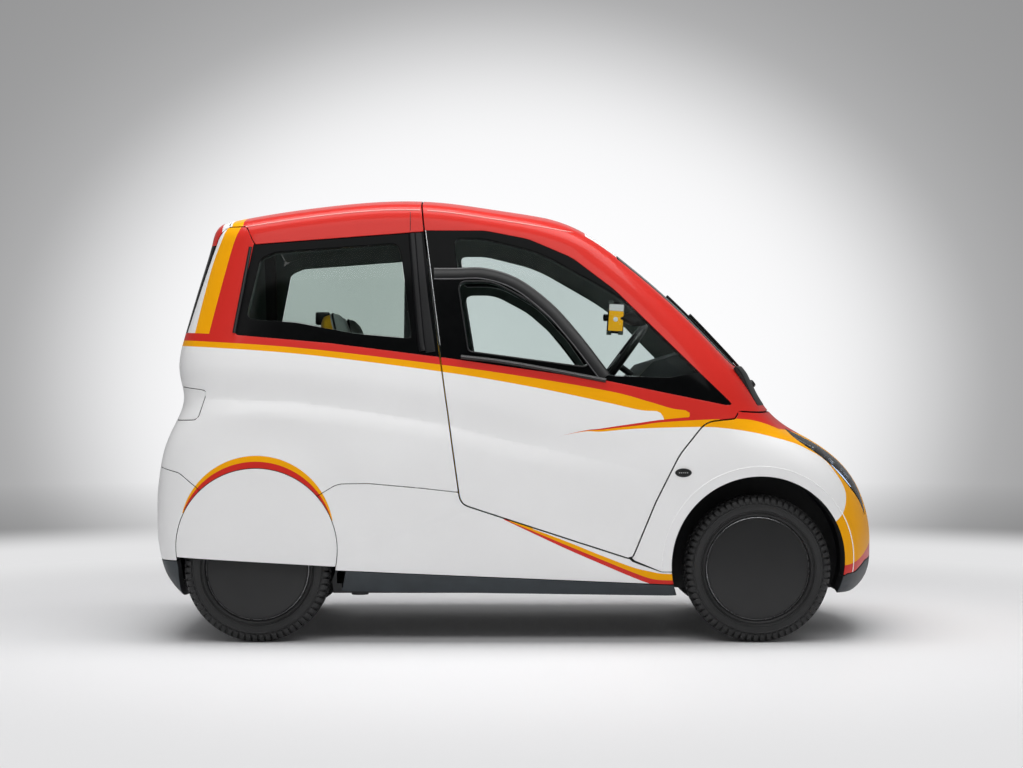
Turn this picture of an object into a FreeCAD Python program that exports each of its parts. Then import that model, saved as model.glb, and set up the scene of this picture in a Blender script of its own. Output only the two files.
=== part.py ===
# A small four wheeled, three seat city car with a front hinged canopy.
# +X is the front, +Y the car's left, +Z up; the origin is on the floor under the middle. Millimetres.
import FreeCAD, Part
import bisect
import math
import os

V = FreeCAD.Vector
os.makedirs("parts", exist_ok=True)

# Driving sizes of the car
car_length = 2570.0
car_width = 1350.0
car_height = 1556.0
wheelbase = 1720.0
front_overhang = 466.0
track = 1100.0
tyre_radius = 254.0
tyre_width = 145.0
rim_radius = 178.0

# Walls and gaps
body_wall = 38.0
spat_wall = 15.0
glass_wall = 5.0
shut_gap = 6.0
seam_gap = 0.8
seat_gap = 0.3
overrun = 60.0
sheet_plate = 15.0

# Front suspension and steering
kingpin_inset = 60.0
kingpin_reach = 110.0
pin_radius = 8.0
running_gap = 0.1
post_radius = 16.0
arm_plate = 20.0
arm_width = 44.0
stub_radius = 15.0
brake_radius = 90.0
brake_plate = 15.0

# Hinges
canopy_hinge_x = 940.0
canopy_hinge_z = 660.0
hinge_arm_y = 280.0
hinge_arm_plate = 12.0
hinge_arm_width = 30.0
hinge_boss_radius = 20.0
hinge_ear_gap = 5.0
hinge_ear_plate = 10.0
hinge_arm_back = 160.0
hinge_arm_rise = 235.0
tailgate_seam_x = -1020.0

# Wheel openings
front_arch_radius = 304.0
front_arch_rise = 16.0
front_arch_shift = 5.0
spat_radius = 278.0
spat_rise = 69.0
spat_flange = 16.0
liner_plate = 8.0

# Cabin and floor
floor_bottom = 165.0
floor_plate = 35.0
well_half_width = 345.0
well_top = 600.0
well_front = 1120.0
well_back = 490.0
bulkhead_x = -630.0
deck_top = 740.0
rear_house_y = 460.0
rail_y = 400.0
rail_width = 40.0
canopy_clear = 8.0
hoop_depth = 25.0
mid_hoop_x = -400.0
rear_hoop_x = -995.0
beam_low = 345.0
beam_depth = 85.0
tail_inset = 120.0

# Jack pads under the floor and the holes for a rear number plate
jack_pad_radius = 30.0
jack_pad_height = 15.0
jack_pad_y = 440.0
jack_pad_front_x = 400.0
jack_pad_rear_x = -560.0
plate_hole_radius = 3.0
plate_hole_spacing = 300.0
plate_hole_z = 450.0

# Seats, from the floor
driver_seat_x = -230.0
driver_seat_width = 440.0
driver_seat_top = 1130.0
driver_seat_lean = 130.0
rear_seat_x = -522.0
rear_seat_width = 250.0
rear_seat_y = 365.0
rear_seat_top = 1160.0
rear_seat_lean = 190.0
cushion_rise = 250.0
cushion_depth = 480.0
cushion_dip = 40.0
back_depth = 110.0

# Dashboard outline in side view, from the steering wheel's centre
dash_half_width = 560.0
dash_leg_width = 180.0
dash_outline = [(36.0, -63.0), (96.0, 2.0), (256.0, 52.0), (301.0, 42.0), (301.0, -113.0),
                (136.0, -173.0), (56.0, -113.0)]

# Steering wheel
steering_x = 364.0
steering_z = 963.0
steering_tilt = 36.4
steering_radius = 170.0
steering_rim = 14.0
column_radius = 12.0
column_length = 160.0

front_axle_x = car_length / 2 - front_overhang
rear_axle_x = front_axle_x - wheelbase
wheel_y = track / 2
kingpin_y = wheel_y - kingpin_inset
front_arch_x = front_axle_x + front_arch_shift
well_shelf_x = front_axle_x - front_arch_radius / 2
half_length = car_length / 2
half_width = car_width / 2
tail_inner_x = tail_inset - half_length
across = (-half_width, half_width)

# Centre lines of the body seen from the side, from the sill up: share of half the length, share of height
front_line_shares = [(0.856, 0.045), (0.926, 0.077), (0.982, 0.109), (1.0, 0.154), (1.0, 0.186),
                     (1.0, 0.219), (0.997, 0.251), (0.984, 0.296), (0.958, 0.347), (0.912, 0.395),
                     (0.843, 0.437), (0.764, 0.469), (0.709, 0.505), (0.676, 0.546), (0.635, 0.594),
                     (0.572, 0.646), (0.480, 0.723), (0.378, 0.800), (0.281, 0.864), (0.213, 0.909),
                     (0.135, 0.958), (0.047, 1.003), (-0.047, 1.054), (-0.109, 1.093)]
rear_line_shares = [(-0.856, 0.045), (-0.911, 0.077), (-0.961, 0.116), (-0.987, 0.161), (-0.998, 0.219),
                    (-1.0, 0.244), (-1.0, 0.283), (-1.0, 0.321), (-0.996, 0.347), (-0.988, 0.392),
                    (-0.974, 0.443), (-0.948, 0.485), (-0.928, 0.521), (-0.928, 0.553), (-0.942, 0.591),
                    (-0.945, 0.620), (-0.938, 0.656), (-0.923, 0.701), (-0.900, 0.771), (-0.872, 0.848),
                    (-0.852, 0.906), (-0.850, 0.964), (-0.850, 1.028), (-0.850, 1.093)]
# Half width at each height: share of half the width, share of height
width_shares = [(0.785, 0.045), (0.844, 0.077), (0.904, 0.116), (0.955, 0.161), (0.980, 0.212),
                (0.990, 0.270), (1.0, 0.321), (1.0, 0.360), (1.0, 0.398), (0.984, 0.450),
                (0.970, 0.501), (0.951, 0.559), (0.922, 0.617), (0.889, 0.675), (0.852, 0.739),
                (0.815, 0.810), (0.778, 0.874), (0.741, 0.938), (0.711, 1.003), (0.681, 1.093)]
# How far the front and the tail are bowed in plan: share of the half length, share of height
bow_shares = [(0.125, 0.045), (0.125, 0.2), (0.125, 0.4), (0.080, 0.55), (0.048, 0.68), (0.040, 0.8),
              (0.040, 1.093)]
tail_bow_share = 0.025
front_corner_power = 10.0
# How square the tail's corners are in plan: power, share of height
tail_power_shares = [(14.0, 0.045), (14.0, 0.2), (14.0, 0.35), (10.0, 0.5), (8.0, 0.7), (8.0, 1.093)]
# Roof centre line: share of half the length, share of height
roof_line_shares = [(-1.128, 0.900), (-0.934, 0.926), (-0.845, 0.943), (-0.775, 0.955), (-0.690, 0.968),
                    (-0.600, 0.979), (-0.500, 0.989), (-0.420, 0.995), (-0.350, 0.998), (-0.280, 0.998),
                    (-0.200, 0.994), (-0.110, 0.983), (-0.030, 0.973), (0.050, 0.963), (0.125, 0.950),
                    (0.202, 0.934), (0.280, 0.908), (0.389, 0.866), (0.623, 0.760), (0.856, 0.655),
                    (1.128, 0.535)]
roof_drop_share = 0.034
roof_edge_share = 0.770
roof_power = 3.0
arc_room_share = 0.48

wall_rows = 26
wall_columns = 72
loop_overlap = 4
roof_rows = 24
roof_columns = 12
wall_low_share = 0.06
wall_high_share = 1.07
roof_back_share = -1.08
roof_front_share = 1.08
roof_side_share = 1.15

# Side view outlines: share of the length from the tail, share of height, corner radius as share of length
canopy_outline_shares = [(0.362, 1.05, 0), (0.3708, 0.9145, 0), (0.3934, 0.6337, 0.2),
                         (0.4213, 0.3080, 0.018), (0.6494, 0.1851, 0.008), (0.6809, 0.3130, 0.1),
                         (0.7121, 0.4152, 0.1), (0.7480, 0.4880, 0.03), (0.7883, 0.4949, 0.004),
                         (0.7934, 0.5109, 0.004), (0.8245, 0.5084, 0), (1.03, 0.5150, 0), (1.03, 1.05, 0)]
quarter_outline_shares = [(-0.02, 0.392, 0), (0.019, 0.386, 0), (0.046, 0.376, 0.02), (0.075, 0.338, 0),
                          (0.100, 0.290, 0), (0.200, 0.290, 0), (0.228, 0.322, 0), (0.258, 0.352, 0.03),
                          (0.300, 0.353, 0.05), (0.368, 0.343, 0), (0.450, 0.328, 0), (0.450, 0.920, 0),
                          (0.3708, 0.912, 0), (0.141, 0.883, 0), (0.1290, 0.925, 0), (-0.02, 0.925, 0)]
rocker_outline_shares = [(0.190, 0.165, 0), (0.266, 0.159, 0), (0.720, 0.1262, 0), (0.720, 0.156, 0),
                         (0.689, 0.157, 0), (0.6494, 0.181, 0), (0.640, 0.200, 0), (0.450, 0.328, 0),
                         (0.368, 0.343, 0), (0.300, 0.353, 0.05), (0.258, 0.352, 0.03), (0.228, 0.322, 0),
                         (0.200, 0.290, 0)]
sill_outline_shares = [(0.262, 0.112, 0.004), (0.268, 0.159, 0), (0.720, 0.1262, 0), (0.710, 0.101, 0)]
bumper_outline_shares = [(-0.02, 0.392, 0), (0.019, 0.386, 0), (0.046, 0.376, 0.02), (0.075, 0.338, 0),
                         (0.140, 0.300, 0), (0.140, 0.181, 0), (-0.02, 0.181, 0)]
valance_outline_shares = [(-0.02, 0.181, 0), (0.044, 0.181, 0), (0.044, 0.084, 0.01), (-0.02, 0.084, 0)]
spat_outline_shares = [(0.020, 0.1915, 0), (0.280, 0.1665, 0), (0.280, 0.50, 0), (0.020, 0.50, 0)]
lamp_outline_shares = [(-0.02, 0.566, 0), (0.046, 0.564, 0), (0.0815, 0.557, 0.006), (0.070, 0.492, 0.01),
                       (0.039, 0.491, 0), (-0.02, 0.494, 0)]
clam_outline_shares = [(0.6494, 0.1851, 0), (0.689, 0.157, 0), (0.720, 0.156, 0), (0.720, 0.128, 0),
                       (0.920, 0.128, 0), (0.943, 0.148, 0), (0.955, 0.150, 0.01), (0.974, 0.172, 0),
                       (1.02, 0.178, 0), (1.02, 0.60, 0), (0.640, 0.60, 0), (0.640, 0.220, 0)]
lip_outline_shares = [(0.900, 0.104, 0), (0.955, 0.100, 0.01), (1.02, 0.125, 0), (1.02, 0.178, 0),
                      (0.974, 0.172, 0), (0.955, 0.150, 0.01), (0.943, 0.148, 0), (0.920, 0.128, 0),
                      (0.900, 0.128, 0)]
quarter_window_shares = [(0.150, 0.852, 0.012), (0.170, 0.866, 0.03), (0.334, 0.886, 0.012),
                         (0.340, 0.862, 0.02), (0.356, 0.672, 0.006), (0.280, 0.683, 0.1),
                         (0.200, 0.708, 0.1), (0.132, 0.716, 0.01)]
upper_window_shares = [(0.411, 0.897, 0.008), (0.450, 0.897, 0.1), (0.527, 0.866, 0.2), (0.629, 0.772, 0.3),
                       (0.728, 0.646, 0.05), (0.750, 0.602, 0.012), (0.700, 0.585, 0.05),
                       (0.616, 0.590, 0.006), (0.576, 0.684, 0.12), (0.530, 0.766, 0.12),
                       (0.470, 0.821, 0.08), (0.417, 0.821, 0.006)]
slide_window_shares = [(0.422, 0.795, 0.012), (0.462, 0.795, 0.06), (0.512, 0.752, 0.1),
                       (0.560, 0.684, 0.12), (0.596, 0.606, 0.008), (0.436, 0.643, 0.008)]
# Front view outlines: share of half the width, share of height, corner radius as share of length
windscreen_shares = [(-0.70, 0.614, 0.02), (0.70, 0.614, 0.02), (0.66, 0.950, 0), (-0.66, 0.950, 0)]
# Where the windscreen ends at the roof: share of half the length
windscreen_top_share = 0.268
tailgate_shares = [(-0.74, 0.400, 0.02), (0.74, 0.400, 0.02), (0.74, 0.52, 0.2), (0.66, 0.860, 0.05),
                   (0.66, 1.05, 0), (-0.66, 1.05, 0), (-0.66, 0.860, 0.05), (-0.74, 0.52, 0.2)]
rear_glass_shares = [(-0.55, 0.630, 0.02), (0.55, 0.630, 0.02), (0.50, 0.868, 0.02), (-0.50, 0.868, 0.02)]
# Plan outline of the right headlamp: share of half the length, share of half the width, corner radius
headlamp_shares = [(0.725, -0.62, 0.02), (0.745, -0.80, 0.03), (0.885, -0.74, 0.05), (0.965, -0.50, 0.03),
                   (0.935, -0.37, 0.03), (0.820, -0.46, 0.05)]


# Curves and the body's two master surfaces
def soft_line(shares, across, up):
    """A smooth line near the listed points, read as a distance at a height."""
    poles = [V(a * across, b * up, 0) for a, b in shares]
    curve = Part.BSplineCurve()
    curve.buildFromPoles(poles, False, 3)
    steps = 20 * len(poles)
    points = [curve.value(i / steps) for i in range(steps + 1)]
    return [p.y for p in points], [p.x for p in points]


def read(line, at):
    keys, values = line
    i = min(max(bisect.bisect_right(keys, at), 1), len(keys) - 1)
    part = (at - keys[i - 1]) / (keys[i] - keys[i - 1])
    return values[i - 1] + part * (values[i] - values[i - 1])


front_line = soft_line(front_line_shares, half_length, car_height)
rear_line = soft_line(rear_line_shares, half_length, car_height)
width_line = soft_line(width_shares, half_width, car_height)
bow_line = soft_line(bow_shares, 1, car_height)
tail_power_line = soft_line(tail_power_shares, 1, car_height)
roof_line = soft_line([(b, a) for a, b in roof_line_shares], car_height, half_length)


def wall_point(angle, z):
    """A point on the body's side wall, by an angle in plan from the front, and a height."""
    front, rear, width = read(front_line, z), read(rear_line, z), read(width_line, z)
    middle, reach = (front + rear) / 2, (front - rear) / 2
    c, s = math.cos(angle), math.sin(angle)
    power = front_corner_power if c > 0 else read(tail_power_line, z)
    size = (abs(c) ** power + abs(s) ** power) ** (-1 / power)
    bow = read(bow_line, z) if c > 0 else tail_bow_share
    return V(middle + reach * size * c * (1 - bow * (size * s) ** 2), width * size * s, z)


def even_loop(z):
    """Angles that space a level loop of the wall evenly, from the tail round to the tail."""
    steps = 8 * wall_columns
    angles = [math.pi * (2 * i / steps - 1) for i in range(steps + 1)]
    points = [wall_point(a, z) for a in angles]
    run = [0.0]
    for a, b in zip(points, points[1:]):
        run.append(run[-1] + (b - a).Length)
    return [read((run, angles), run[-1] * i / wall_columns) for i in range(wall_columns)]


def wall_grid(depth):
    """The wall's points, moved inward by the depth, with each loop run on past its start."""
    low, high = wall_low_share * car_height - depth / 2, wall_high_share * car_height
    step = (high - low) / wall_rows
    grid = []
    for j in range(wall_rows + 1):
        z = low + j * step
        row = []
        for angle in even_loop(z):
            point = wall_point(angle, z)
            turn = math.pi / wall_columns / 4
            along = wall_point(angle + turn, z) - wall_point(angle - turn, z)
            rise = wall_point(angle, z + step / 4) - wall_point(angle, z - step / 4)
            normal = along.cross(rise).normalize()
            level = V(normal.x, normal.y, 0)
            row.append(point - level * (depth / level.Length ** 2))
        grid.append(row[-loop_overlap:] + row + row[:loop_overlap + 1])
    return grid


def smooth_surface(grid):
    surface = Part.BSplineSurface()
    surface.interpolate(grid)
    return surface


def wall_solid(depth):
    surface = smooth_surface(wall_grid(depth))
    knots = surface.getVKnots()
    low_u, high_u = surface.bounds()[:2]
    surface.segment(low_u, high_u, knots[loop_overlap], knots[-1 - loop_overlap])
    for i in range(1, surface.NbUPoles + 1):
        surface.setPole(i, surface.NbVPoles, surface.getPole(i, 1))
    wall = surface.toShape()
    caps = []
    for loop in wall.Edges:
        if loop.isClosed():
            level = Part.Plane(loop.Vertexes[0].Point, V(0, 0, 1))
            caps.append(Part.Face(level, Part.Wire(loop)))
    return Part.Solid(Part.Shell([wall] + caps))


def roof_height(x, y):
    edge = roof_edge_share * half_width
    return read(roof_line, x) - roof_drop_share * car_height * (abs(y) / edge) ** roof_power


def roof_solid(depth):
    """Everything below the roof surface, lowered by the depth."""
    back, front = roof_back_share * half_length, roof_front_share * half_length
    side = roof_side_share * half_width
    grid = []
    for i in range(roof_rows + 1):
        x = back + (front - back) * i / roof_rows
        row = []
        for j in range(roof_columns + 1):
            y = side * (2 * j / roof_columns - 1)
            small = side / roof_columns / 4
            slope_x = (roof_height(x + small, y) - roof_height(x - small, y)) / small / 2
            slope_y = (roof_height(x, y + small) - roof_height(x, y - small)) / small / 2
            row.append(V(x, y, roof_height(x, y) - depth * math.sqrt(1 + slope_x ** 2 + slope_y ** 2)))
        grid.append(row)
    return smooth_surface(grid).toShape().extrude(V(0, 0, -2 * car_height))


def body_solid(depth):
    """The car's outer form, shrunk by the depth."""
    return wall_solid(depth).common(roof_solid(depth))


# Outlines and prisms
def rounded_wire(corners):
    """A closed wire through corners, each given as a point and the radius of its arc."""
    count = len(corners)
    starts, ends, edges = [], [], []
    for i in range(count):
        point, radius = corners[i]
        back = (corners[i - 1][0] - point).normalize()
        ahead = (corners[(i + 1) % count][0] - point).normalize()
        half = back.getAngle(ahead) / 2
        if radius > 0 and half < math.pi / 2 - math.radians(1):
            cut = radius / math.tan(half)
            room = min((corners[i - 1][0] - point).Length, (corners[(i + 1) % count][0] - point).Length)
            cut = min(cut, room * arc_room_share)
            radius = cut * math.tan(half)
            middle = point + (back + ahead).normalize() * (radius / math.sin(half) - radius)
            edges.append(Part.Arc(point + back * cut, middle, point + ahead * cut).toShape())
            starts.append(point + back * cut)
            ends.append(point + ahead * cut)
        else:
            edges.append(None)
            starts.append(point)
            ends.append(point)
    loop = []
    for i in range(count):
        if edges[i]:
            loop.append(edges[i])
        loop.append(Part.makeLine(ends[i], starts[(i + 1) % count]))
    return Part.Wire(loop)


def side_corners(shares):
    return [(V((x - 0.5) * car_length, 0, z * car_height), r * car_length) for x, z, r in shares]


def side_prism(shares, low_y, high_y, grow=0.0):
    """A prism across the car on a side view outline, grown or shrunk all round."""
    face = Part.Face(rounded_wire(side_corners(shares)))
    if grow:
        face = face.makeOffset2D(grow)
    face.translate(V(0, low_y, 0))
    return face.extrude(V(0, high_y - low_y, 0))


def front_prism(shares, low_x, high_x, grow=0.0):
    """A prism along the car on a front view outline."""
    corners = [(V(0, y * half_width, z * car_height), r * car_length) for y, z, r in shares]
    face = Part.Face(rounded_wire(corners))
    if grow:
        face = face.makeOffset2D(grow)
    face.translate(V(low_x, 0, 0))
    return face.extrude(V(high_x - low_x, 0, 0))


def plan_prism(shares, low_z, high_z, grow=0.0):
    """An upright prism on a plan outline."""
    corners = [(V(x * half_length, y * half_width, 0), r * car_length) for x, y, r in shares]
    face = Part.Face(rounded_wire(corners))
    if grow:
        face = face.makeOffset2D(grow)
    face.translate(V(0, 0, low_z))
    return face.extrude(V(0, 0, high_z - low_z))


def box(low_x, high_x, low_y, high_y, low_z, high_z):
    return Part.makeBox(high_x - low_x, high_y - low_y, high_z - low_z, V(low_x, low_y, low_z))


def cross_cylinder(radius, x, z, low_y, high_y):
    """A cylinder across the car."""
    return Part.makeCylinder(radius, high_y - low_y, V(x, low_y, z), V(0, 1, 0))


def post(radius, x, y, low_z, high_z):
    return Part.makeCylinder(radius, high_z - low_z, V(x, y, low_z), V(0, 0, 1))


def mirrored(shape):
    return shape.mirror(V(0, 0, 0), V(0, 1, 0))


side_reach = half_width + overrun
whole = (-side_reach, side_reach)
right_half = (-side_reach, 0.0)

outer = body_solid(0.0)
shell = outer.cut(body_solid(body_wall))
spat_skin = outer.cut(body_solid(spat_wall))
glass_skin = outer.cut(body_solid(glass_wall))
backing = body_solid(body_wall + seat_gap)
hoop_inside = body_solid(body_wall + hoop_depth)
clear_inside = body_solid(body_wall + canopy_clear)

front_arch = cross_cylinder(front_arch_radius, front_arch_x, tyre_radius + front_arch_rise, *whole)
spat_z = tyre_radius + spat_rise
spat_opening = cross_cylinder(spat_radius + seam_gap, rear_axle_x, spat_z, *whole)
canopy_opening = side_prism(canopy_outline_shares, *whole, shut_gap)
tail_low, tail_high = -half_length - overrun, -half_length / 2
tailgate_block = front_prism(tailgate_shares, tail_low, tail_high)
roof_limit = box(tail_low, tailgate_seam_x, *whole, 0, 2 * car_height)
tailgate_opening = front_prism(tailgate_shares, tail_low, tail_high, shut_gap).common(
    box(tail_low, tailgate_seam_x + shut_gap, *whole, 0, 2 * car_height))
fixed_shell = shell.cut([canopy_opening, tailgate_opening, front_arch, spat_opening])


# Body panels
def quarter():
    """Shoulder, rear pillar and cant rail on the right, with its window cut."""
    block = side_prism(quarter_outline_shares, *right_half)
    window = side_prism(quarter_window_shares, *right_half)
    lamp = side_prism(lamp_outline_shares, *right_half)
    return fixed_shell.common(block).cut([window, lamp])


def quarter_glass():
    return glass_skin.common(side_prism(quarter_window_shares, *right_half, -seat_gap))


def tail_lamp():
    block = side_prism(lamp_outline_shares, *right_half, -seam_gap)
    return fixed_shell.common(block)


def rear_roof():
    below = side_prism(quarter_outline_shares, *whole, seam_gap)
    above = box(-half_length - overrun, half_length, *whole, 0.85 * car_height, 2 * car_height)
    return fixed_shell.common(above).cut(below)


def rear_bumper():
    """The wrap-round rear bumper, with two holes for a number plate."""
    holes = []
    for side in (-1, 1):
        start = V(-half_length - overrun, side * plate_hole_spacing / 2, plate_hole_z)
        holes.append(Part.makeCylinder(plate_hole_radius, 2 * overrun + body_wall, start, V(1, 0, 0)))
    return fixed_shell.common(side_prism(bumper_outline_shares, *whole, -seam_gap)).cut(holes)


def rear_valance():
    return fixed_shell.common(side_prism(valance_outline_shares, *whole, -seam_gap))


def rocker():
    return fixed_shell.common(side_prism(rocker_outline_shares, *right_half, -seam_gap))


def sill():
    return fixed_shell.common(side_prism(sill_outline_shares, *right_half, -seam_gap))


def spat():
    """The cover over the upper part of the rear wheel, thickened round its rim."""
    block = side_prism(spat_outline_shares, *right_half)
    disc = cross_cylinder(spat_radius, rear_axle_x, spat_z, *right_half)
    inner = cross_cylinder(spat_radius - spat_flange, rear_axle_x, spat_z, *right_half)
    ring = disc.cut(inner).common(block)
    return spat_skin.common(disc).common(block).fuse(shell.common(ring))


def front_clam():
    """Nose and front wings in one, with the lamps cut out."""
    block = side_prism(clam_outline_shares, *whole, -seam_gap)
    lamp = plan_prism(headlamp_shares, 0.25 * car_height, car_height)
    return fixed_shell.common(block).cut([lamp, mirrored(lamp)])


def front_lip():
    return fixed_shell.common(side_prism(lip_outline_shares, *whole, -seam_gap))


def headlamp():
    lamp = plan_prism(headlamp_shares, 0.25 * car_height, car_height, -seam_gap)
    return fixed_shell.common(lamp)


def tailgate():
    window = front_prism(rear_glass_shares, tail_low, tail_high)
    return shell.common(tailgate_block).common(roof_limit).cut(window)


def tailgate_glass():
    return glass_skin.common(front_prism(rear_glass_shares, tail_low, tail_high, -seat_gap))


def bar(points, width, low_y, high_y):
    """A flat bent bar across a few points in side view."""
    result = None
    for (ax, az), (bx, bz) in zip(points, points[1:]):
        a, b = V(ax, low_y, az), V(bx, low_y, bz)
        side = V(a.z - b.z, 0, b.x - a.x).normalize() * (width / 2)
        wire = Part.makePolygon([a + side, b + side, b - side, a - side, a + side])
        piece = Part.Face(wire).extrude(V(0, high_y - low_y, 0))
        joint = cross_cylinder(width / 2, ax, az, low_y, high_y)
        result = piece.fuse(joint) if result is None else result.fuse([piece, joint])
    return result


def hinge_arm():
    """A bent arm from the cowl down, back and forward to the hinge pin."""
    low_y = -hinge_arm_y - hinge_arm_plate / 2
    high_y = -hinge_arm_y + hinge_arm_plate / 2
    back_x = canopy_hinge_x - hinge_arm_back
    route = [(canopy_hinge_x, canopy_hinge_z), (back_x, canopy_hinge_z + hinge_arm_width / 4),
             (back_x - hinge_arm_width / 2, canopy_hinge_z + hinge_arm_rise / 2),
             (canopy_hinge_x - 2 * hinge_arm_back / 3, canopy_hinge_z + hinge_arm_rise)]
    arm = bar(route, hinge_arm_width, low_y, high_y)
    boss = cross_cylinder(hinge_boss_radius, canopy_hinge_x, canopy_hinge_z, low_y, high_y)
    bore = cross_cylinder(pin_radius + running_gap, canopy_hinge_x, canopy_hinge_z, low_y, high_y)
    return arm.fuse(boss).cut(bore)


def canopy_shell():
    """Front roof, pillars, door sides and cowl in one, with every window cut."""
    body = shell.common(side_prism(canopy_outline_shares, *whole))
    screen = front_prism(windscreen_shares, windscreen_top_share * half_length, half_length)
    upper = side_prism(upper_window_shares, *whole)
    slide = side_prism(slide_window_shares, *whole)
    arm = hinge_arm()
    return body.cut([screen, upper, slide]).fuse([arm, mirrored(arm)])


def windscreen():
    low_x = windscreen_top_share * half_length + seat_gap
    return glass_skin.common(front_prism(windscreen_shares, low_x, half_length, -seat_gap))


def canopy_glass():
    upper = side_prism(upper_window_shares, *right_half, -seat_gap)
    slide = side_prism(slide_window_shares, *right_half, -seat_gap)
    return glass_skin.common(upper.fuse(slide))


# Floor, wells, hoops and liners
def wheel_liner(radius, x, z, inner_y, low_z):
    """A half round liner over a wheel, closed on its inner side."""
    reach = (-half_width, -inner_y + liner_plate)
    drum = cross_cylinder(radius + liner_plate, x, z, *reach)
    room = cross_cylinder(radius + seat_gap, x, z, -half_width, -inner_y)
    low = box(x - 2 * radius, x + 2 * radius, -half_width, 0, 0, low_z)
    return drum.cut([room, low])


def hoop(low_x, high_x, low_z):
    ring = backing.cut(hoop_inside)
    return ring.common(box(low_x, high_x, *whole, low_z, 2 * car_height))


def hinge_bracket():
    """Two ears on the well's top, with the pin that the canopy's arm turns on."""
    inner = -hinge_arm_y - hinge_arm_plate / 2 - hinge_ear_gap
    outer_y = -hinge_arm_y + hinge_arm_plate / 2 + hinge_ear_gap
    low_x, high_x = canopy_hinge_x - hinge_boss_radius, canopy_hinge_x + hinge_boss_radius
    top = canopy_hinge_z + hinge_boss_radius
    ears = []
    for low_y in (inner - hinge_ear_plate, outer_y):
        ears.append(box(low_x, high_x, low_y, low_y + hinge_ear_plate, well_top - sheet_plate, top))
    pin = cross_cylinder(pin_radius, canopy_hinge_x, canopy_hinge_z,
                         inner - hinge_ear_plate, outer_y + hinge_ear_plate)
    return ears[0].fuse([ears[1], pin])


def foot_well():
    """A box between the front wheels for the driver's feet, open to the cabin."""
    floor_top = floor_bottom + floor_plate
    inside = well_half_width - sheet_plate
    hull = box(well_back, well_front, -well_half_width, well_half_width, floor_bottom, well_top)
    room = box(well_back, well_front - sheet_plate, -inside, inside, floor_top, well_top - sheet_plate)
    mouth = box(well_back, well_shelf_x, -inside, inside, floor_top, well_top)
    return hull.cut([room, mouth])


def tub():
    """The floor with the foot well, bulkhead, deck, rails, hoops and wheel liners."""
    floor_top = floor_bottom + floor_plate
    front_wall = box(well_back, well_back + sheet_plate, *across, floor_top, well_top)
    doorway = box(well_back, well_back + sheet_plate, -well_half_width, well_half_width, floor_top, well_top)
    nose_beam = box(well_front, half_length, -well_half_width, well_half_width, beam_low, beam_low + beam_depth)
    tail_beam = box(-half_length, tail_inner_x, -rail_y, rail_y, beam_low, beam_low + beam_depth)
    rail = box(-half_length, bulkhead_x, -rail_y, -rail_y + rail_width, beam_low - rail_width, beam_low)
    front_z = tyre_radius + front_arch_rise
    front = wheel_liner(front_arch_radius, front_arch_x, front_z, well_half_width, floor_bottom)
    rear = wheel_liner(spat_radius, rear_axle_x, spat_z, rear_house_y, floor_top)
    pieces = [
        box(bulkhead_x - sheet_plate, well_back + sheet_plate, *across, floor_bottom, floor_top), foot_well(),
        front_wall.common(clear_inside).cut(doorway), nose_beam, tail_beam, rail, mirrored(rail),
        box(bulkhead_x - sheet_plate, bulkhead_x, *across, floor_top, deck_top),
        box(tail_inner_x, bulkhead_x, *across, deck_top - sheet_plate, deck_top),
        front, mirrored(front), rear, mirrored(rear)]
    rooms = []
    for low_y, high_y in ((-side_reach, -well_half_width), (well_half_width, side_reach)):
        rooms.append(cross_cylinder(front_arch_radius, front_arch_x, front_z, low_y, high_y))
    for low_y, high_y in ((-side_reach, -rear_house_y), (rear_house_y, side_reach)):
        rooms.append(cross_cylinder(spat_radius + seat_gap, rear_axle_x, spat_z, low_y, high_y))
    rooms.append(cross_cylinder(stub_radius + seat_gap, rear_axle_x, tyre_radius, -side_reach, -rail_y - rail_width))
    rooms.append(cross_cylinder(stub_radius + seat_gap, rear_axle_x, tyre_radius, rail_y + rail_width, side_reach))
    pads = []
    for x in (jack_pad_front_x, jack_pad_rear_x):
        for y in (-jack_pad_y, jack_pad_y):
            pads.append(post(jack_pad_radius, x, y, floor_bottom - jack_pad_height, floor_bottom + floor_plate / 2))
    bracket = hinge_bracket()
    hoops = [hoop(mid_hoop_x, mid_hoop_x + rail_width, floor_top), hoop(rear_hoop_x, rear_hoop_x + rail_width, deck_top)]
    frame = pieces[0].fuse(pieces[1:]).cut(rooms).common(backing)
    return frame.fuse(hoops + pads + [bracket, mirrored(bracket)]).removeSplitter()


# Running gear
def revolved(points, x, y, z):
    """A solid turned about an axle across the car, from radius and offset pairs."""
    corners = [V(r, offset, 0) for r, offset in points]
    face = Part.Face(Part.makePolygon(corners + corners[:1]))
    solid = face.revolve(V(0, 0, 0), V(0, 1, 0), 360)
    solid.translate(V(x, y, z))
    return solid


hub_radius = 40.0
hub_inset = 30.0
rim_plate = 9.0
disc_plate = 14.0
disc_inset = 12.0
tyre_shoulder = 26.0
tyre_seat = 14.0


def wheel(x, side):
    """Rim, flat disc and hub with the bore for the stub axle."""
    out = tyre_width / 2 - disc_inset
    back = tyre_width / 2 - tyre_seat
    inside = rim_radius - rim_plate
    face_in = out - disc_plate
    bore = stub_radius + running_gap
    points = [(bore, -hub_inset), (hub_radius, -hub_inset), (hub_radius, face_in), (inside, face_in),
              (inside, -back), (rim_radius, -back), (rim_radius, out), (0, out), (0, face_in),
              (bore, face_in)]
    return revolved([(r, side * o) for r, o in points], x, side * wheel_y, tyre_radius)


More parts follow.
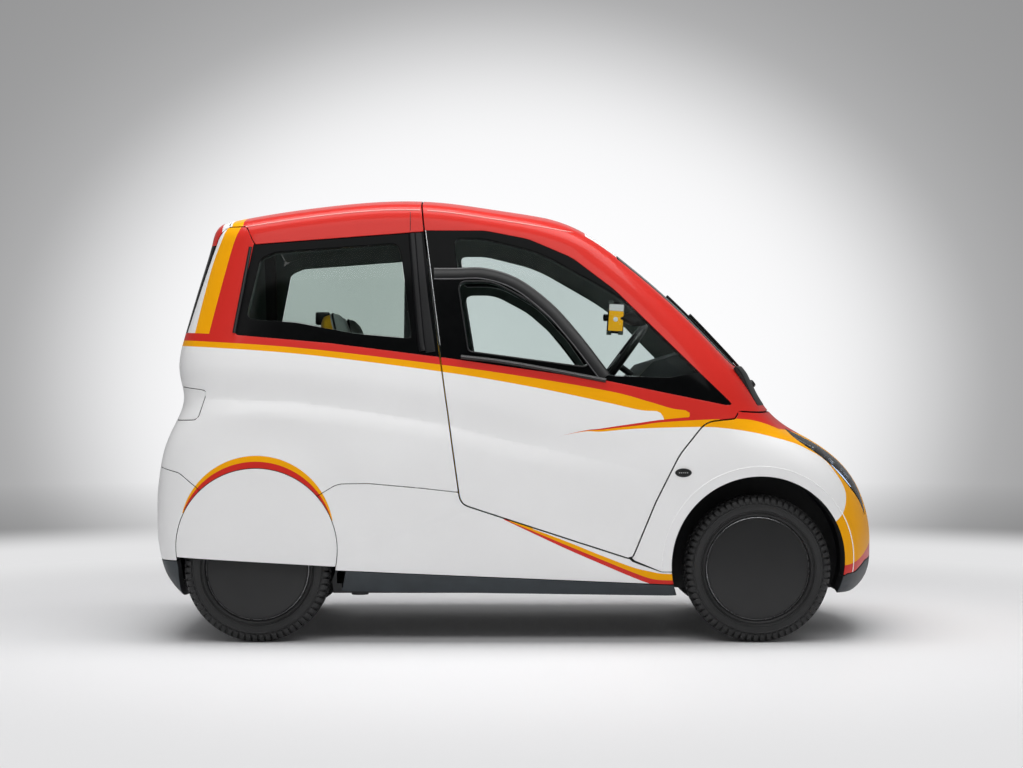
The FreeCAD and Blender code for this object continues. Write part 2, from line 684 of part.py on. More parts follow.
def tyre(x, side):
    half = tyre_width / 2
    inner = rim_radius + seat_gap
    points = [(inner, -half + tyre_seat), (inner + tyre_seat, -half), (tyre_radius - tyre_shoulder, -half),
              (tyre_radius - tyre_shoulder / 4, -half + tyre_shoulder / 3),
              (tyre_radius, -half + tyre_shoulder), (tyre_radius, half - tyre_shoulder),
              (tyre_radius - tyre_shoulder / 4, half - tyre_shoulder / 3),
              (tyre_radius - tyre_shoulder, half), (inner + tyre_seat, half), (inner, half - tyre_seat)]
    return revolved(points, x, side * wheel_y, tyre_radius)


def knuckle():
    """The right front upright, turning on two pins, with its stub axle and brake disc."""
    low, high = tyre_radius - kingpin_reach, tyre_radius + kingpin_reach
    upright = post(post_radius, front_axle_x, -kingpin_y, low, high)
    pins = post(pin_radius, front_axle_x, -kingpin_y, low - arm_plate - hinge_ear_gap,
                high + arm_plate + hinge_ear_gap)
    end = -wheel_y - tyre_width / 2 + disc_inset + disc_plate + hinge_ear_gap
    stub = cross_cylinder(stub_radius, front_axle_x, tyre_radius, end, -kingpin_y)
    face = -kingpin_y - post_radius
    brake = cross_cylinder(brake_radius, front_axle_x, tyre_radius, face - brake_plate / 2, face + brake_plate / 2)
    return upright.fuse([pins, stub, brake])


def front_subframe():
    """A cross member under the foot well, with two arms a side that hold the uprights."""
    low = tyre_radius - kingpin_reach - hinge_ear_gap - arm_plate
    high = tyre_radius + kingpin_reach + hinge_ear_gap
    low_x, high_x = front_axle_x - arm_width / 2, front_axle_x + arm_width / 2
    plate = box(low_x, high_x, -well_half_width - sheet_plate, well_half_width + sheet_plate, low,
                floor_bottom - seat_gap)
    pieces = []
    for side in (-1, 1):
        near = min(side * (well_half_width + seat_gap), side * (well_half_width + sheet_plate))
        pieces.append(box(low_x, high_x, near, near + sheet_plate - seat_gap, low, high + arm_plate))
        for z in (low, high):
            reach = sorted((side * (well_half_width + seat_gap), side * kingpin_y))
            arm = box(low_x, high_x, *reach, z, z + arm_plate)
            eye = post(arm_width / 2, front_axle_x, side * kingpin_y, z, z + arm_plate)
            bore = post(pin_radius + running_gap, front_axle_x, side * kingpin_y, z, z + arm_plate)
            pieces.append(arm.fuse(eye).cut(bore))
    return plate.fuse(pieces).removeSplitter()


def rear_axle():
    """Two trailing arms joined by a beam, with the rear stub axles."""
    arm_low, arm_high = tyre_radius - arm_width / 2, tyre_radius + arm_width / 2
    inner_y = rail_y + seat_gap
    outer_y = inner_y + rail_width
    pieces = []
    for side in (-1, 1):
        reach = sorted((side * inner_y, side * outer_y))
        pieces.append(box(rear_axle_x - arm_width, bulkhead_x - sheet_plate - seat_gap, *reach, arm_low, arm_high))
        end = side * (wheel_y + tyre_width / 2 - disc_inset - disc_plate - hinge_ear_gap)
        pieces.append(cross_cylinder(stub_radius, rear_axle_x, tyre_radius, *sorted((side * inner_y, end))))
    beam = box(bulkhead_x - 2 * arm_width, bulkhead_x - arm_width, -outer_y, outer_y, arm_low - arm_plate / 2,
               arm_low + arm_plate / 2)
    return beam.fuse(pieces).removeSplitter()


def engine():
    """The engine, gearbox and exhaust box as one plain block between the rails."""
    top = 0.82 * deck_top
    return box(tail_inner_x + rail_width, bulkhead_x - 2 * rail_width, -rail_y + rail_width + seat_gap,
               rail_y - rail_width - seat_gap, tyre_radius, top)


# Cabin
def seat(low_x, centre_y, width, back_top, lean):
    """A seat as one closed form: base, cushion and leaning back with its head rest."""
    floor_z = floor_bottom + floor_plate + seat_gap
    cushion_top = floor_z + cushion_rise
    front_x = low_x + cushion_depth
    outline = [(low_x, floor_z), (front_x, floor_z), (front_x, cushion_top),
               (low_x + back_depth, cushion_top - cushion_dip), (low_x - lean + 0.8 * back_depth, back_top),
               (low_x - lean, back_top), (low_x - 0.3 * back_depth, cushion_top - 1.5 * cushion_dip)]
    wire = Part.makePolygon([V(x, centre_y - width / 2, z) for x, z in outline + outline[:1]])
    return Part.Face(wire).extrude(V(0, width, 0))


def driver_seat():
    return seat(driver_seat_x, 0, driver_seat_width, driver_seat_top, driver_seat_lean)


def rear_seats():
    one = seat(rear_seat_x, -rear_seat_y, rear_seat_width, rear_seat_top, rear_seat_lean)
    return Part.Compound([one, mirrored(one)])


def on_column(shape):
    """Turn a shape made along +Z onto the steering axis, at the wheel's centre."""
    shape.rotate(V(0, 0, 0), V(0, 1, 0), 90 + steering_tilt)
    shape.translate(V(steering_x, 0, steering_z))
    return shape


def dashboard():
    """The dashboard across the cabin, on one leg, with the bore for the steering shaft."""
    corners = [V(steering_x + x, -dash_half_width, steering_z + z) for x, z in dash_outline]
    top = Part.Face(Part.makePolygon(corners + corners[:1])).extrude(V(0, 2 * dash_half_width, 0))
    front_x = steering_x + dash_outline[3][0]
    leg = box(front_x - rail_width, well_shelf_x + sheet_plate, -dash_leg_width / 2, dash_leg_width / 2,
              well_top + seat_gap, steering_z + dash_outline[0][1])
    bore = Part.makeCylinder(column_radius + running_gap, column_length + sheet_plate)
    return top.common(clear_inside).fuse(leg).cut(on_column(bore))


def steering_wheel():
    ring = Part.makeTorus(steering_radius, steering_rim)
    hub = Part.makeCylinder(3 * column_radius, 2 * steering_rim, V(0, 0, -steering_rim))
    shaft = Part.makeCylinder(column_radius, column_length)
    spokes = []
    for turn in (90, 180, 270):
        spoke = Part.makeBox(steering_radius, 2 * column_radius, steering_rim, V(0, -column_radius, -steering_rim / 2))
        spoke.rotate(V(0, 0, 0), V(0, 0, 1), turn)
        spokes.append(spoke)
    return on_column(ring.fuse([hub, shaft] + spokes).removeSplitter())


def save(name, shape):
    shape.exportStep("parts/" + name + ".step")


def save_pair(name, right):
    save(name + "_right", right)
    save(name + "_left", mirrored(right))


save("tub", tub())
save("canopy_shell", canopy_shell())
save("windscreen", windscreen())
save_pair("canopy_glass", canopy_glass())
save_pair("quarter", quarter())
save_pair("quarter_glass", quarter_glass())
save_pair("tail_lamp", tail_lamp())
save("rear_roof", rear_roof())
save("rear_bumper", rear_bumper())
save("rear_valance", rear_valance())
save_pair("rocker", rocker())
save_pair("sill", sill())
save_pair("spat", spat())
save("front_clam", front_clam())
save("front_lip", front_lip())
save_pair("headlamp", headlamp())
save("tailgate", tailgate())
save("tailgate_glass", tailgate_glass())
for end, axle_x in (("front", front_axle_x), ("rear", rear_axle_x)):
    for side_name, side in (("right", -1), ("left", 1)):
        save("wheel_" + end + "_" + side_name, wheel(axle_x, side))
        save("tyre_" + end + "_" + side_name, tyre(axle_x, side))
save_pair("knuckle", knuckle())
save("front_subframe", front_subframe())
save("rear_axle", rear_axle())
save("engine", engine())
save("driver_seat", driver_seat())
save("rear_seats", rear_seats())
save("dashboard", dashboard())
save("steering_wheel", steering_wheel())
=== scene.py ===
# A small four wheeled, three seat city car with a front hinged canopy, dressed over its frame.
# Metres, +X is the front, +Y the car's left, +Z up. Photograph points are pixels in a 1023 by 768 frame.
import math
import bmesh
import bpy
import numpy as np
from mathutils import Matrix, Vector
from mathutils.bvhtree import BVHTree


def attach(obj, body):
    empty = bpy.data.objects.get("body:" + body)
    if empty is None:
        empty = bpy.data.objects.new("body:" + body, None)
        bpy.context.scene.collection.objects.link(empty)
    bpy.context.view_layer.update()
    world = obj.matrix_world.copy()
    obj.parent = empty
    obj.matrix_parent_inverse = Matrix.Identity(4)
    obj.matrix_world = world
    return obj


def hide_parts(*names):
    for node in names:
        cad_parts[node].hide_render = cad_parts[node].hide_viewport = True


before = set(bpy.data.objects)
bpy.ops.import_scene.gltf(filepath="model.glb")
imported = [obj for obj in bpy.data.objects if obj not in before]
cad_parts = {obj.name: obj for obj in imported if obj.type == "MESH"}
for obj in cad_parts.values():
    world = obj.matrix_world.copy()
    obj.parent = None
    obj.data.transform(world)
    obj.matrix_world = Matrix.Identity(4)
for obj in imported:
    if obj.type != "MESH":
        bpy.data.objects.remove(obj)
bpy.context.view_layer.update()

# Driving sizes of the car
car_length = 2.57
car_width = 1.35
car_height = 1.556
wheelbase = 1.72
front_overhang = 0.466
track = 1.1
tyre_radius = 0.254
tyre_width = 0.145
half_length = car_length / 2
half_width = car_width / 2
front_axle_x = half_length - front_overhang
rear_axle_x = front_axle_x - wheelbase
wheel_y = track / 2

# Skin, walls and gaps
skin_pitch = 0.014
crease_blend = 0.05
panel_depth = 0.024
pane_depth = 0.004
pane_sink = 0.0015
lip_radius = 0.002
shut_gap = 0.0045
seam_gap = 0.0022
tiny = 1e-4
side_plane_share = 0.97

# The photograph's camera
photo_width = 1023
photo_height = 768
photo_focal = 2166.0
camera_x = -0.0277
camera_y = -8.055
camera_z = 0.8887
sensor_width = 36.0

# Centre lines of the body seen from the side, from the sill up: share of half the length, share of height
front_line_shares = [
    (0.856, 0.045), (0.926, 0.077), (0.982, 0.109), (1.0, 0.154), (1.0, 0.186), (1.0, 0.219),
    (0.997, 0.251), (0.984, 0.296), (0.958, 0.347), (0.912, 0.395), (0.843, 0.437), (0.764, 0.469),
    (0.709, 0.505), (0.676, 0.546), (0.635, 0.594), (0.572, 0.646), (0.48, 0.723), (0.378, 0.8),
    (0.281, 0.864), (0.213, 0.909), (0.135, 0.958), (0.047, 1.003), (-0.047, 1.054), (-0.109, 1.093)]
rear_line_shares = [
    (-0.856, 0.045), (-0.911, 0.077), (-0.961, 0.116), (-0.987, 0.161), (-0.998, 0.219), (-1.0, 0.244),
    (-1.0, 0.283), (-1.0, 0.321), (-0.996, 0.347), (-0.988, 0.392), (-0.974, 0.443), (-0.948, 0.485),
    (-0.928, 0.521), (-0.928, 0.553), (-0.942, 0.591), (-0.945, 0.62), (-0.938, 0.656), (-0.923, 0.701),
    (-0.9, 0.771), (-0.872, 0.848), (-0.852, 0.906), (-0.85, 0.964), (-0.85, 1.028), (-0.85, 1.093)]
# Half width at each height: share of half the width, share of height
width_shares = [
    (0.785, 0.045), (0.844, 0.077), (0.904, 0.116), (0.955, 0.161), (0.98, 0.212), (0.99, 0.27),
    (1.0, 0.321), (1.0, 0.36), (1.0, 0.398), (0.984, 0.45), (0.97, 0.501), (0.951, 0.559), (0.922, 0.617),
    (0.889, 0.675), (0.852, 0.739), (0.815, 0.81), (0.778, 0.874), (0.741, 0.938), (0.711, 1.003),
    (0.681, 1.093)]
# How far the front and the tail are bowed in plan: share of the half length, share of height
bow_shares = [
    (0.125, 0.045), (0.125, 0.2), (0.125, 0.4), (0.08, 0.55), (0.048, 0.68), (0.04, 0.8), (0.04, 1.093)]
tail_bow_share = 0.025
front_corner_power = 10.0
# How square the tail's corners are in plan: power, share of height
tail_power_shares = [(14.0, 0.045), (14.0, 0.2), (14.0, 0.35), (10.0, 0.5), (8.0, 0.7), (8.0, 1.093)]
# Roof centre line: share of half the length, share of height
roof_line_shares = [
    (-1.128, 0.9), (-0.934, 0.926), (-0.845, 0.943), (-0.775, 0.955), (-0.69, 0.968), (-0.6, 0.979),
    (-0.5, 0.989), (-0.42, 0.995), (-0.35, 0.998), (-0.28, 0.998), (-0.2, 0.994), (-0.11, 0.983),
    (-0.03, 0.973), (0.05, 0.963), (0.125, 0.95), (0.202, 0.934), (0.28, 0.908), (0.389, 0.866),
    (0.623, 0.76), (0.856, 0.655), (1.128, 0.535)]
roof_drop_share = 0.034
roof_edge_share = 0.77
roof_power = 3.0
wall_low_share = 0.06
arc_room_share = 0.48

# Side view outlines: share of the length from the tail, share of height, corner radius as share of length
canopy_outline_shares = [
    (0.362, 1.05, 0), (0.3708, 0.9145, 0), (0.3934, 0.6337, 0.2), (0.4213, 0.308, 0.018),
    (0.6494, 0.1851, 0.008), (0.6809, 0.313, 0.1), (0.7121, 0.4152, 0.1), (0.748, 0.488, 0.03),
    (0.7883, 0.4949, 0.004), (0.7934, 0.5109, 0.004), (0.8245, 0.5084, 0), (1.03, 0.515, 0),
    (1.03, 1.05, 0)]
quarter_outline_shares = [
    (-0.02, 0.392, 0), (0.019, 0.386, 0), (0.046, 0.376, 0.02), (0.075, 0.338, 0), (0.1, 0.29, 0),
    (0.2, 0.29, 0), (0.228, 0.322, 0), (0.258, 0.352, 0.03), (0.3, 0.353, 0.05), (0.368, 0.343, 0),
    (0.45, 0.328, 0), (0.45, 0.92, 0), (0.3708, 0.912, 0), (0.141, 0.883, 0), (0.129, 0.925, 0),
    (-0.02, 0.925, 0)]
rocker_outline_shares = [
    (0.19, 0.165, 0), (0.266, 0.159, 0), (0.72, 0.1262, 0), (0.72, 0.156, 0), (0.689, 0.157, 0),
    (0.6494, 0.181, 0), (0.64, 0.2, 0), (0.45, 0.328, 0), (0.368, 0.343, 0), (0.3, 0.353, 0.05),
    (0.258, 0.352, 0.03), (0.228, 0.322, 0), (0.2, 0.29, 0)]
sill_outline_shares = [(0.262, 0.112, 0.004), (0.268, 0.159, 0), (0.72, 0.1262, 0), (0.71, 0.101, 0)]
bumper_outline_shares = [
    (-0.02, 0.392, 0), (0.019, 0.386, 0), (0.046, 0.376, 0.02), (0.075, 0.338, 0), (0.14, 0.3, 0),
    (0.14, 0.181, 0), (-0.02, 0.181, 0)]
valance_outline_shares = [(-0.02, 0.181, 0), (0.044, 0.181, 0), (0.044, 0.084, 0.01), (-0.02, 0.084, 0)]
spat_outline_shares = [(0.02, 0.1915, 0), (0.28, 0.1665, 0), (0.28, 0.5, 0), (0.02, 0.5, 0)]
lamp_outline_shares = [
    (-0.02, 0.566, 0), (0.046, 0.564, 0), (0.0815, 0.557, 0.006), (0.07, 0.492, 0.01), (0.039, 0.491, 0),
    (-0.02, 0.494, 0)]
clam_outline_shares = [
    (0.6494, 0.1851, 0), (0.689, 0.157, 0), (0.72, 0.156, 0), (0.72, 0.128, 0), (0.92, 0.128, 0),
    (0.943, 0.148, 0), (0.955, 0.15, 0.01), (0.974, 0.172, 0), (1.02, 0.178, 0), (1.02, 0.6, 0),
    (0.64, 0.6, 0), (0.64, 0.22, 0)]
lip_outline_shares = [
    (0.9, 0.104, 0), (0.955, 0.1, 0.01), (1.02, 0.125, 0), (1.02, 0.178, 0), (0.974, 0.172, 0),
    (0.955, 0.15, 0.01), (0.943, 0.148, 0), (0.92, 0.128, 0), (0.9, 0.128, 0)]
quarter_window_shares = [
    (0.15, 0.852, 0.012), (0.17, 0.866, 0.03), (0.334, 0.886, 0.012), (0.34, 0.862, 0.02),
    (0.356, 0.672, 0.006), (0.28, 0.683, 0.1), (0.2, 0.708, 0.1), (0.132, 0.716, 0.01)]
upper_window_shares = [
    (0.411, 0.897, 0.008), (0.45, 0.897, 0.1), (0.527, 0.866, 0.2), (0.629, 0.772, 0.3),
    (0.728, 0.646, 0.05), (0.75, 0.602, 0.012), (0.7, 0.585, 0.05), (0.616, 0.59, 0.006),
    (0.576, 0.684, 0.12), (0.53, 0.766, 0.12), (0.47, 0.821, 0.08), (0.417, 0.821, 0.006)]
slide_window_shares = [
    (0.4165, 0.8, 0.012), (0.463, 0.8, 0.06), (0.5135, 0.756, 0.1), (0.562, 0.687, 0.12),
    (0.598, 0.606, 0.008), (0.4315, 0.643, 0.008)]
# Front view outlines: share of half the width, share of height, corner radius as share of length
windscreen_shares = [(-0.7, 0.614, 0.02), (0.7, 0.614, 0.02), (0.66, 0.95, 0), (-0.66, 0.95, 0)]
tailgate_shares = [
    (-0.74, 0.4, 0.02), (0.74, 0.4, 0.02), (0.74, 0.52, 0.2), (0.66, 0.86, 0.05), (0.66, 1.05, 0),
    (-0.66, 1.05, 0), (-0.66, 0.86, 0.05), (-0.74, 0.52, 0.2)]
rear_glass_shares = [(-0.55, 0.63, 0.02), (0.55, 0.63, 0.02), (0.5, 0.868, 0.02), (-0.5, 0.868, 0.02)]
# Plan outline of the right headlamp: share of half the length, share of half the width, corner radius
headlamp_shares = [
    (0.725, -0.62, 0.02), (0.745, -0.8, 0.03), (0.885, -0.74, 0.05), (0.965, -0.5, 0.03),
    (0.935, -0.37, 0.03), (0.82, -0.46, 0.05)]
roof_white_x = -1.045
roof_yellow_x = -1.008
roof_red_x = -0.967
hatch_lamp_corners = [(-0.42, 0.8, 0.02), (-0.29, 0.796, 0.02), (-0.29, 0.862, 0.02), (-0.415, 0.87, 0.02)]
windscreen_top_share = 0.268
header_low_x = windscreen_top_share * half_length + 0.001
header_high_x = 0.231
header_half_width = 0.44
screen_border = 0.035
rear_border = 0.03
hatch_black_top_z = 1.375
front_arch_radius = 0.304
front_arch_rise = 0.016
front_arch_x = front_axle_x + 0.005
spat_radius = 0.278
spat_rise = 0.069
tailgate_seam_x = -1.02

# Paint lines in the photograph's pixels, from the tail forward or from the top down
belt_red_top_px = [(120, 327), (185, 332.9), (300, 339.5), (424, 353.5), (441, 356.2)]
belt_middle_px = [
    (120, 336), (185, 340.5), (300, 348), (441, 364.7), (530, 377.5), (611, 391.5), (650, 402),
    (672, 408.5), (686, 410.5), (690, 414), (688.5, 420), (688, 460)]
belt_low_px = [
    (120, 342), (185, 346.1), (300, 354), (441, 371.6), (530, 386.5), (600, 401), (640, 410), (658, 411.5),
    (663.5, 417.5), (664.5, 424), (665, 460)]
spear_top_px = [
    (420, 471.5), (566.4, 434.5), (602, 428.4), (640, 422.8), (663, 419.6), (700, 416.5), (760, 415)]
spear_middle_px = [
    (420, 470), (566.4, 434.6), (602, 429.8), (640, 425.2), (663, 422.2), (715, 419.3), (745, 419.2),
    (765, 423.5), (785, 432), (800, 442)]
ahead_of_wheel = 0.25
spear_low_px = [
    (420, 468.5), (566.4, 434.6), (602, 431.6), (640, 428.6), (698.3, 427), (723.8, 428.1), (755.7, 432.9),
    (787.6, 441), (802.2, 446.6), (823.6, 459), (837, 475), (844.4, 488.4), (846.1, 499), (843.7, 511.2),
    (837, 520.6), (815, 540)]
nose_red_shares = [
    (0.98, 0.08, 0), (0.96, 0.158, 0.01), (0.8, 0.17, 0.06), (0.62, 0.193, 0.08), (0.36, 0.213, 0.1)]
nose_red_shares += [(-y, z, r) for y, z, r in nose_red_shares[::-1]]
# Plan outline of the red before the windscreen: shares of half the length and half the width, radius
scuttle_red_shares = [
    (0.3, -1.2, 0), (0.655, -1.0, 0), (0.69, -0.84, 0.06), (0.722, -0.7, 0.06), (0.765, -0.5, 0.06),
    (0.797, -0.25, 0.1)]
scuttle_red_shares += [(x, -y, r) for x, y, r in scuttle_red_shares[::-1]]
pillar_white_px = [(192, 350), (195.5, 331), (211, 271), (222, 240), (229, 226), (236, 214)]
pillar_yellow_px = [(207, 350), (209.5, 332), (226, 270), (235, 240), (243, 224), (249, 214)]
rear_black_px = [
    (279, 229, 0), (253.8, 243.6, 4), (234, 334.6, 4), (330, 343, 0), (460, 359.5, 0), (445, 229.5, 0),
    (422, 230.7, 0), (409.3, 231.8, 0), (330, 236.5, 30)]
canopy_black_px = [
    (400, 230.2, 0), (485, 230.4, 60), (528.4, 238.8, 60), (571.8, 257.2, 60), (615.1, 289.7, 90),
    (701.9, 374.3, 60), (733.5, 404.6, 3), (727, 405.4, 3), (680.2, 396, 40), (606.5, 380.8, 60),
    (441.7, 357.4, 0), (400, 352, 0)]
# Relief in the body's sides, as pixels and metres deep: valley under the belt, scallop over the sill
valley_px = [
    (120, 398), (190, 398.5), (212, 399.5), (290, 402), (377, 413.5), (442, 424.5), (500, 439), (560, 452),
    (640, 470), (720, 490)]
valley_depths = [(172, 0.0), (225, 0.011), (450, 0.01), (560, 0.006), (680, 0.0)]
valley_above = 0.12
valley_below = 0.06
scallop_px = [(330, 558), (345, 553), (385, 543), (425, 529), (460, 515), (505, 508)]
scallop_depths = [(335, 0.0), (375, 0.006), (440, 0.006), (505, 0.0)]
scallop_above = 0.045
scallop_below = 0.085
haunch_reach = 0.2
haunch_depth = 0.004
arch_lip_width = 0.033
arch_lip_depth = 0.0035
arc_outer_px = [(181.5, 516.4), (254.5, 455.8), (333.3, 527.1)]
arc_middle_px = [(181.5, 516.6), (254.5, 461.7), (333.2, 527.5)]
low_stripe_columns = (330, 470, 491.5, 560, 600, 632, 650, 664, 690)
low_stripe_top = (452, 504.2, 513.8, 539, 555, 567, 571.5, 573.8, 574.2)
low_stripe_middle = (452, 504.2, 513.8, 542.5, 559, 572, 578.4, 580.2, 580.4)
low_stripe_low = (452, 504.2, 513.8, 546, 563.5, 577, 583.6, 585, 585.6)
low_stripes_px = [list(zip(low_stripe_columns, rows))
                  for rows in (low_stripe_top, low_stripe_middle, low_stripe_low)]


# Seats: middles, half sizes and leans
pad_voxel = 0.013
pad_swell = 0.007
weave_scale = 120.0
driver_lean = math.radians(10.4)
rear_lean = math.radians(13.8)
cushion_lean = math.radians(5.0)
driver_cushion_middle, driver_cushion_half = (0.012, 0.0, 0.392), (0.222, 0.203, 0.05)
driver_back_middle, driver_back_half = (-0.247, 0.0, 0.78), (0.347, 0.203, 0.042)
rear_cushion_middle, rear_cushion_half = (-0.285, 0.365, 0.392), (0.215, 0.112, 0.048)
rear_back_middle, rear_back_half = (-0.584, 0.365, 0.795), (0.367, 0.112, 0.045)
driver_split = driver_back_middle[0] * math.cos(driver_lean) + driver_back_middle[2] * math.sin(driver_lean)
rear_split = rear_back_middle[0] * math.cos(rear_lean) + rear_back_middle[2] * math.sin(rear_lean)


# Curves and the body's surface
def spline_basis(at, count):
    """Weights of a clamped even cubic spline's poles."""
    knots = np.concatenate([np.zeros(4), np.arange(1, count - 3), np.full(4, count - 3.0)])
    weights = ((knots[:-1] <= at[:, None]) & (at[:, None] < knots[1:])).astype(float)
    weights[at >= count - 3, count - 1] = 1.0
    for degree in (1, 2, 3):
        fresh = np.zeros((len(at), len(knots) - 1 - degree))
        for i in range(fresh.shape[1]):
            left, right = knots[i + degree] - knots[i], knots[i + degree + 1] - knots[i + 1]
            if left > 0:
                fresh[:, i] += (at - knots[i]) / left * weights[:, i]
            if right > 0:
                fresh[:, i] += (knots[i + degree + 1] - at) / right * weights[:, i + 1]
        weights = fresh
    return weights


def soft_line(shares, across, up):
    """A smooth line near the listed points: its heights, and its distances across."""
    poles = np.array([(a * across, b * up) for a, b in shares])
    at = np.linspace(0, len(poles) - 3, 20 * len(poles) + 1)
    points = spline_basis(at, len(poles)) @ poles
    return points[:, 1], points[:, 0]


front_line = soft_line(front_line_shares, half_length, car_height)
rear_line = soft_line(rear_line_shares, half_length, car_height)
width_line = soft_line(width_shares, half_width, car_height)
bow_line = soft_line(bow_shares, 1, car_height)
tail_power_line = soft_line(tail_power_shares, 1, car_height)
roof_line = soft_line([(b, a) for a, b in roof_line_shares], car_height, half_length)


def wall_value(points):
    """Over 0 outside the body's side wall and under 0 inside, with no unit."""
    x, y, z = points.T
    front, rear = np.interp(z, *front_line), np.interp(z, *rear_line)
    middle, reach = (front + rear) / 2, (front - rear) / 2
    side = np.abs(y) / np.interp(z, *width_line)
    ahead = x > middle
    bow = np.where(ahead, np.interp(z, *bow_line), tail_bow_share)
    along = np.abs(x - middle) / (reach * (1 - bow * np.minimum(side, 1) ** 2))
    power = np.where(ahead, front_corner_power, np.interp(z, *tail_power_line))
    return (along ** power + side ** power + tiny ** 2) ** (1 / power) - 1


def slopes(value, points):
    """The gradient of a value at each point."""
    result = np.zeros_like(points)
    for axis in range(3):
        step = np.zeros(3)
        step[axis] = 10 * tiny
        result[:, axis] = (value(points + step) - value(points - step)) / (20 * tiny)
    return result


def wall_gap(points):
    return wall_value(points) / np.linalg.norm(slopes(wall_value, points), axis=1)


def roof_value(points):
    x, y, z = points.T
    edge = roof_edge_share * half_width
    return z - np.interp(x, *roof_line) + roof_drop_share * car_height * (np.abs(y) / edge) ** roof_power


def roof_gap(points):
    return roof_value(points) / np.linalg.norm(slopes(roof_value, points), axis=1)


def at_side(pixels):
    """Where pixels lie on an upright plane along the body's right side."""
    u, v = np.array(pixels, float).T
    reach = (-side_plane_share * half_width - camera_y) / photo_focal
    return camera_x + (u - photo_width / 2) * reach, camera_z - (v - photo_height / 2) * reach


def valley(points, line, depths, above, below):
    """How deep a valley along a line is pressed in: soft above the line and crisp below it."""
    along, height = at_side(line)
    start, _ = at_side([(u, photo_height / 2) for u, _ in depths])
    rise = points[:, 2] - np.interp(points[:, 0], along, height)
    up, down = np.clip(rise / above, 0, 1), np.clip(-rise / below, 0, 1)
    shape = np.where(rise > 0, 1 - up ** 2 * (3 - 2 * up), (1 - down) ** 1.6)
    return np.interp(points[:, 0], start, [d for _, d in depths]) * shape


def relief(points):
    """How deep the body's sides are pressed in."""
    deep = valley(points, valley_px, valley_depths, valley_above, valley_below)
    deep = deep + valley(points, scallop_px, scallop_depths, scallop_above, scallop_below)
    far = np.hypot(points[:, 0] - rear_axle_x, points[:, 2] - tyre_radius - spat_rise) - spat_radius
    deep = deep + haunch_depth * np.sin(math.pi * np.clip(far / haunch_reach, 0, 1)) ** 2
    far = np.hypot(points[:, 0] - front_arch_x,
                   points[:, 2] - tyre_radius - front_arch_rise) - front_arch_radius
    return deep + arch_lip_depth * np.clip(1 - far / arch_lip_width, 0, 1)


def body_gap(points):
    """Distance out of the body, with the edge between wall and roof blended and the relief pressed in."""
    wall, roof = wall_gap(points), roof_gap(points)
    overlap = np.maximum(crease_blend - np.abs(wall - roof), 0) / crease_blend
    return np.maximum(wall, roof) + overlap ** 2 * crease_blend / 4 + relief(points)


def outward(points):
    slope = slopes(body_gap, points)
    return slope / np.linalg.norm(slope, axis=1)[:, None]


def on_surface(points, rounds=3):
    """Points moved onto the body's surface."""
    points = points.copy()
    for _ in range(rounds):
        slope = slopes(body_gap, points)
        points -= slope * (body_gap(points) / (slope ** 2).sum(axis=1))[:, None]
    return points


def halved(near, far, test, rounds=30):
    """The two ends of a span halved many times. The near end moves on while the test holds."""
    for _ in range(rounds):
        half = (near + far) / 2
        holds = test(half)
        near, far = np.where(holds, half, near), np.where(holds, far, half)
    return near, far


def seen(pixels):
    """Where the body's right side lies behind each pixel of the photograph."""
    pixels = np.array(pixels, float)
    lean = (pixels - [photo_width / 2, photo_height / 2]) / photo_focal
    steps = np.linspace(-half_width - 0.02, 0, 140)
    depth = steps[None, :] - camera_y
    x = camera_x + lean[:, :1] * depth
    z = camera_z - lean[:, 1:] * depth
    points = np.stack([x, np.broadcast_to(steps, x.shape), z], axis=-1)
    gap = body_gap(points.reshape(-1, 3)).reshape(x.shape)
    hit = []
    for i in range(len(pixels)):
        inside = np.nonzero(gap[i] <= 0)[0]
        if len(inside) and inside[0] > 0:
            j = inside[0]
            part = gap[i, j - 1] / (gap[i, j - 1] - gap[i, j])
            hit.append(points[i, j - 1] + part * (points[i, j] - points[i, j - 1]))
        else:
            hit.append(points[i, int(np.argmin(np.abs(gap[i])))])
    return np.array(hit)


# Outlines and fields that cut the skin
def smooth_through(points, steps=10):
    """A smooth polyline through points in a plane."""
    points = np.array(points, float)
    padded = np.vstack([2 * points[0] - points[1], points, 2 * points[-1] - points[-2]])
    result = [points[0]]
    for a, b, c, d in zip(padded, padded[1:], padded[2:], padded[3:]):
        for i in range(1, steps + 1):
            t = i / steps
            result.append(0.5 * (2 * b + (c - a) * t + (2 * a - 5 * b + 4 * c - d) * t ** 2
                                 + (3 * b - a - 3 * c + d) * t ** 3))
    return np.array(result)


def rounded(corners, steps=8):
    """A closed polyline through corners, each with the radius of its arc."""
    count = len(corners)
    result = []
    for i in range(count):
        point, radius = np.array(corners[i][:2], float), corners[i][2]
        back = np.array(corners[i - 1][:2]) - point
        ahead = np.array(corners[(i + 1) % count][:2]) - point
        room = min(np.linalg.norm(back), np.linalg.norm(ahead)) * arc_room_share
        back, ahead = back / np.linalg.norm(back), ahead / np.linalg.norm(ahead)
        half = math.acos(max(-1.0, min(1.0, float(back @ ahead)))) / 2
        if radius <= 0 or half > math.pi / 2 - math.radians(1):
            result.append(point)
            continue
        cut = min(radius / math.tan(half), room)
        for j in range(steps + 1):
            t = j / steps
            result.append((1 - t) ** 2 * (point + back * cut) + 2 * t * (1 - t) * point
                          + t ** 2 * (point + ahead * cut))
    return np.array(result)


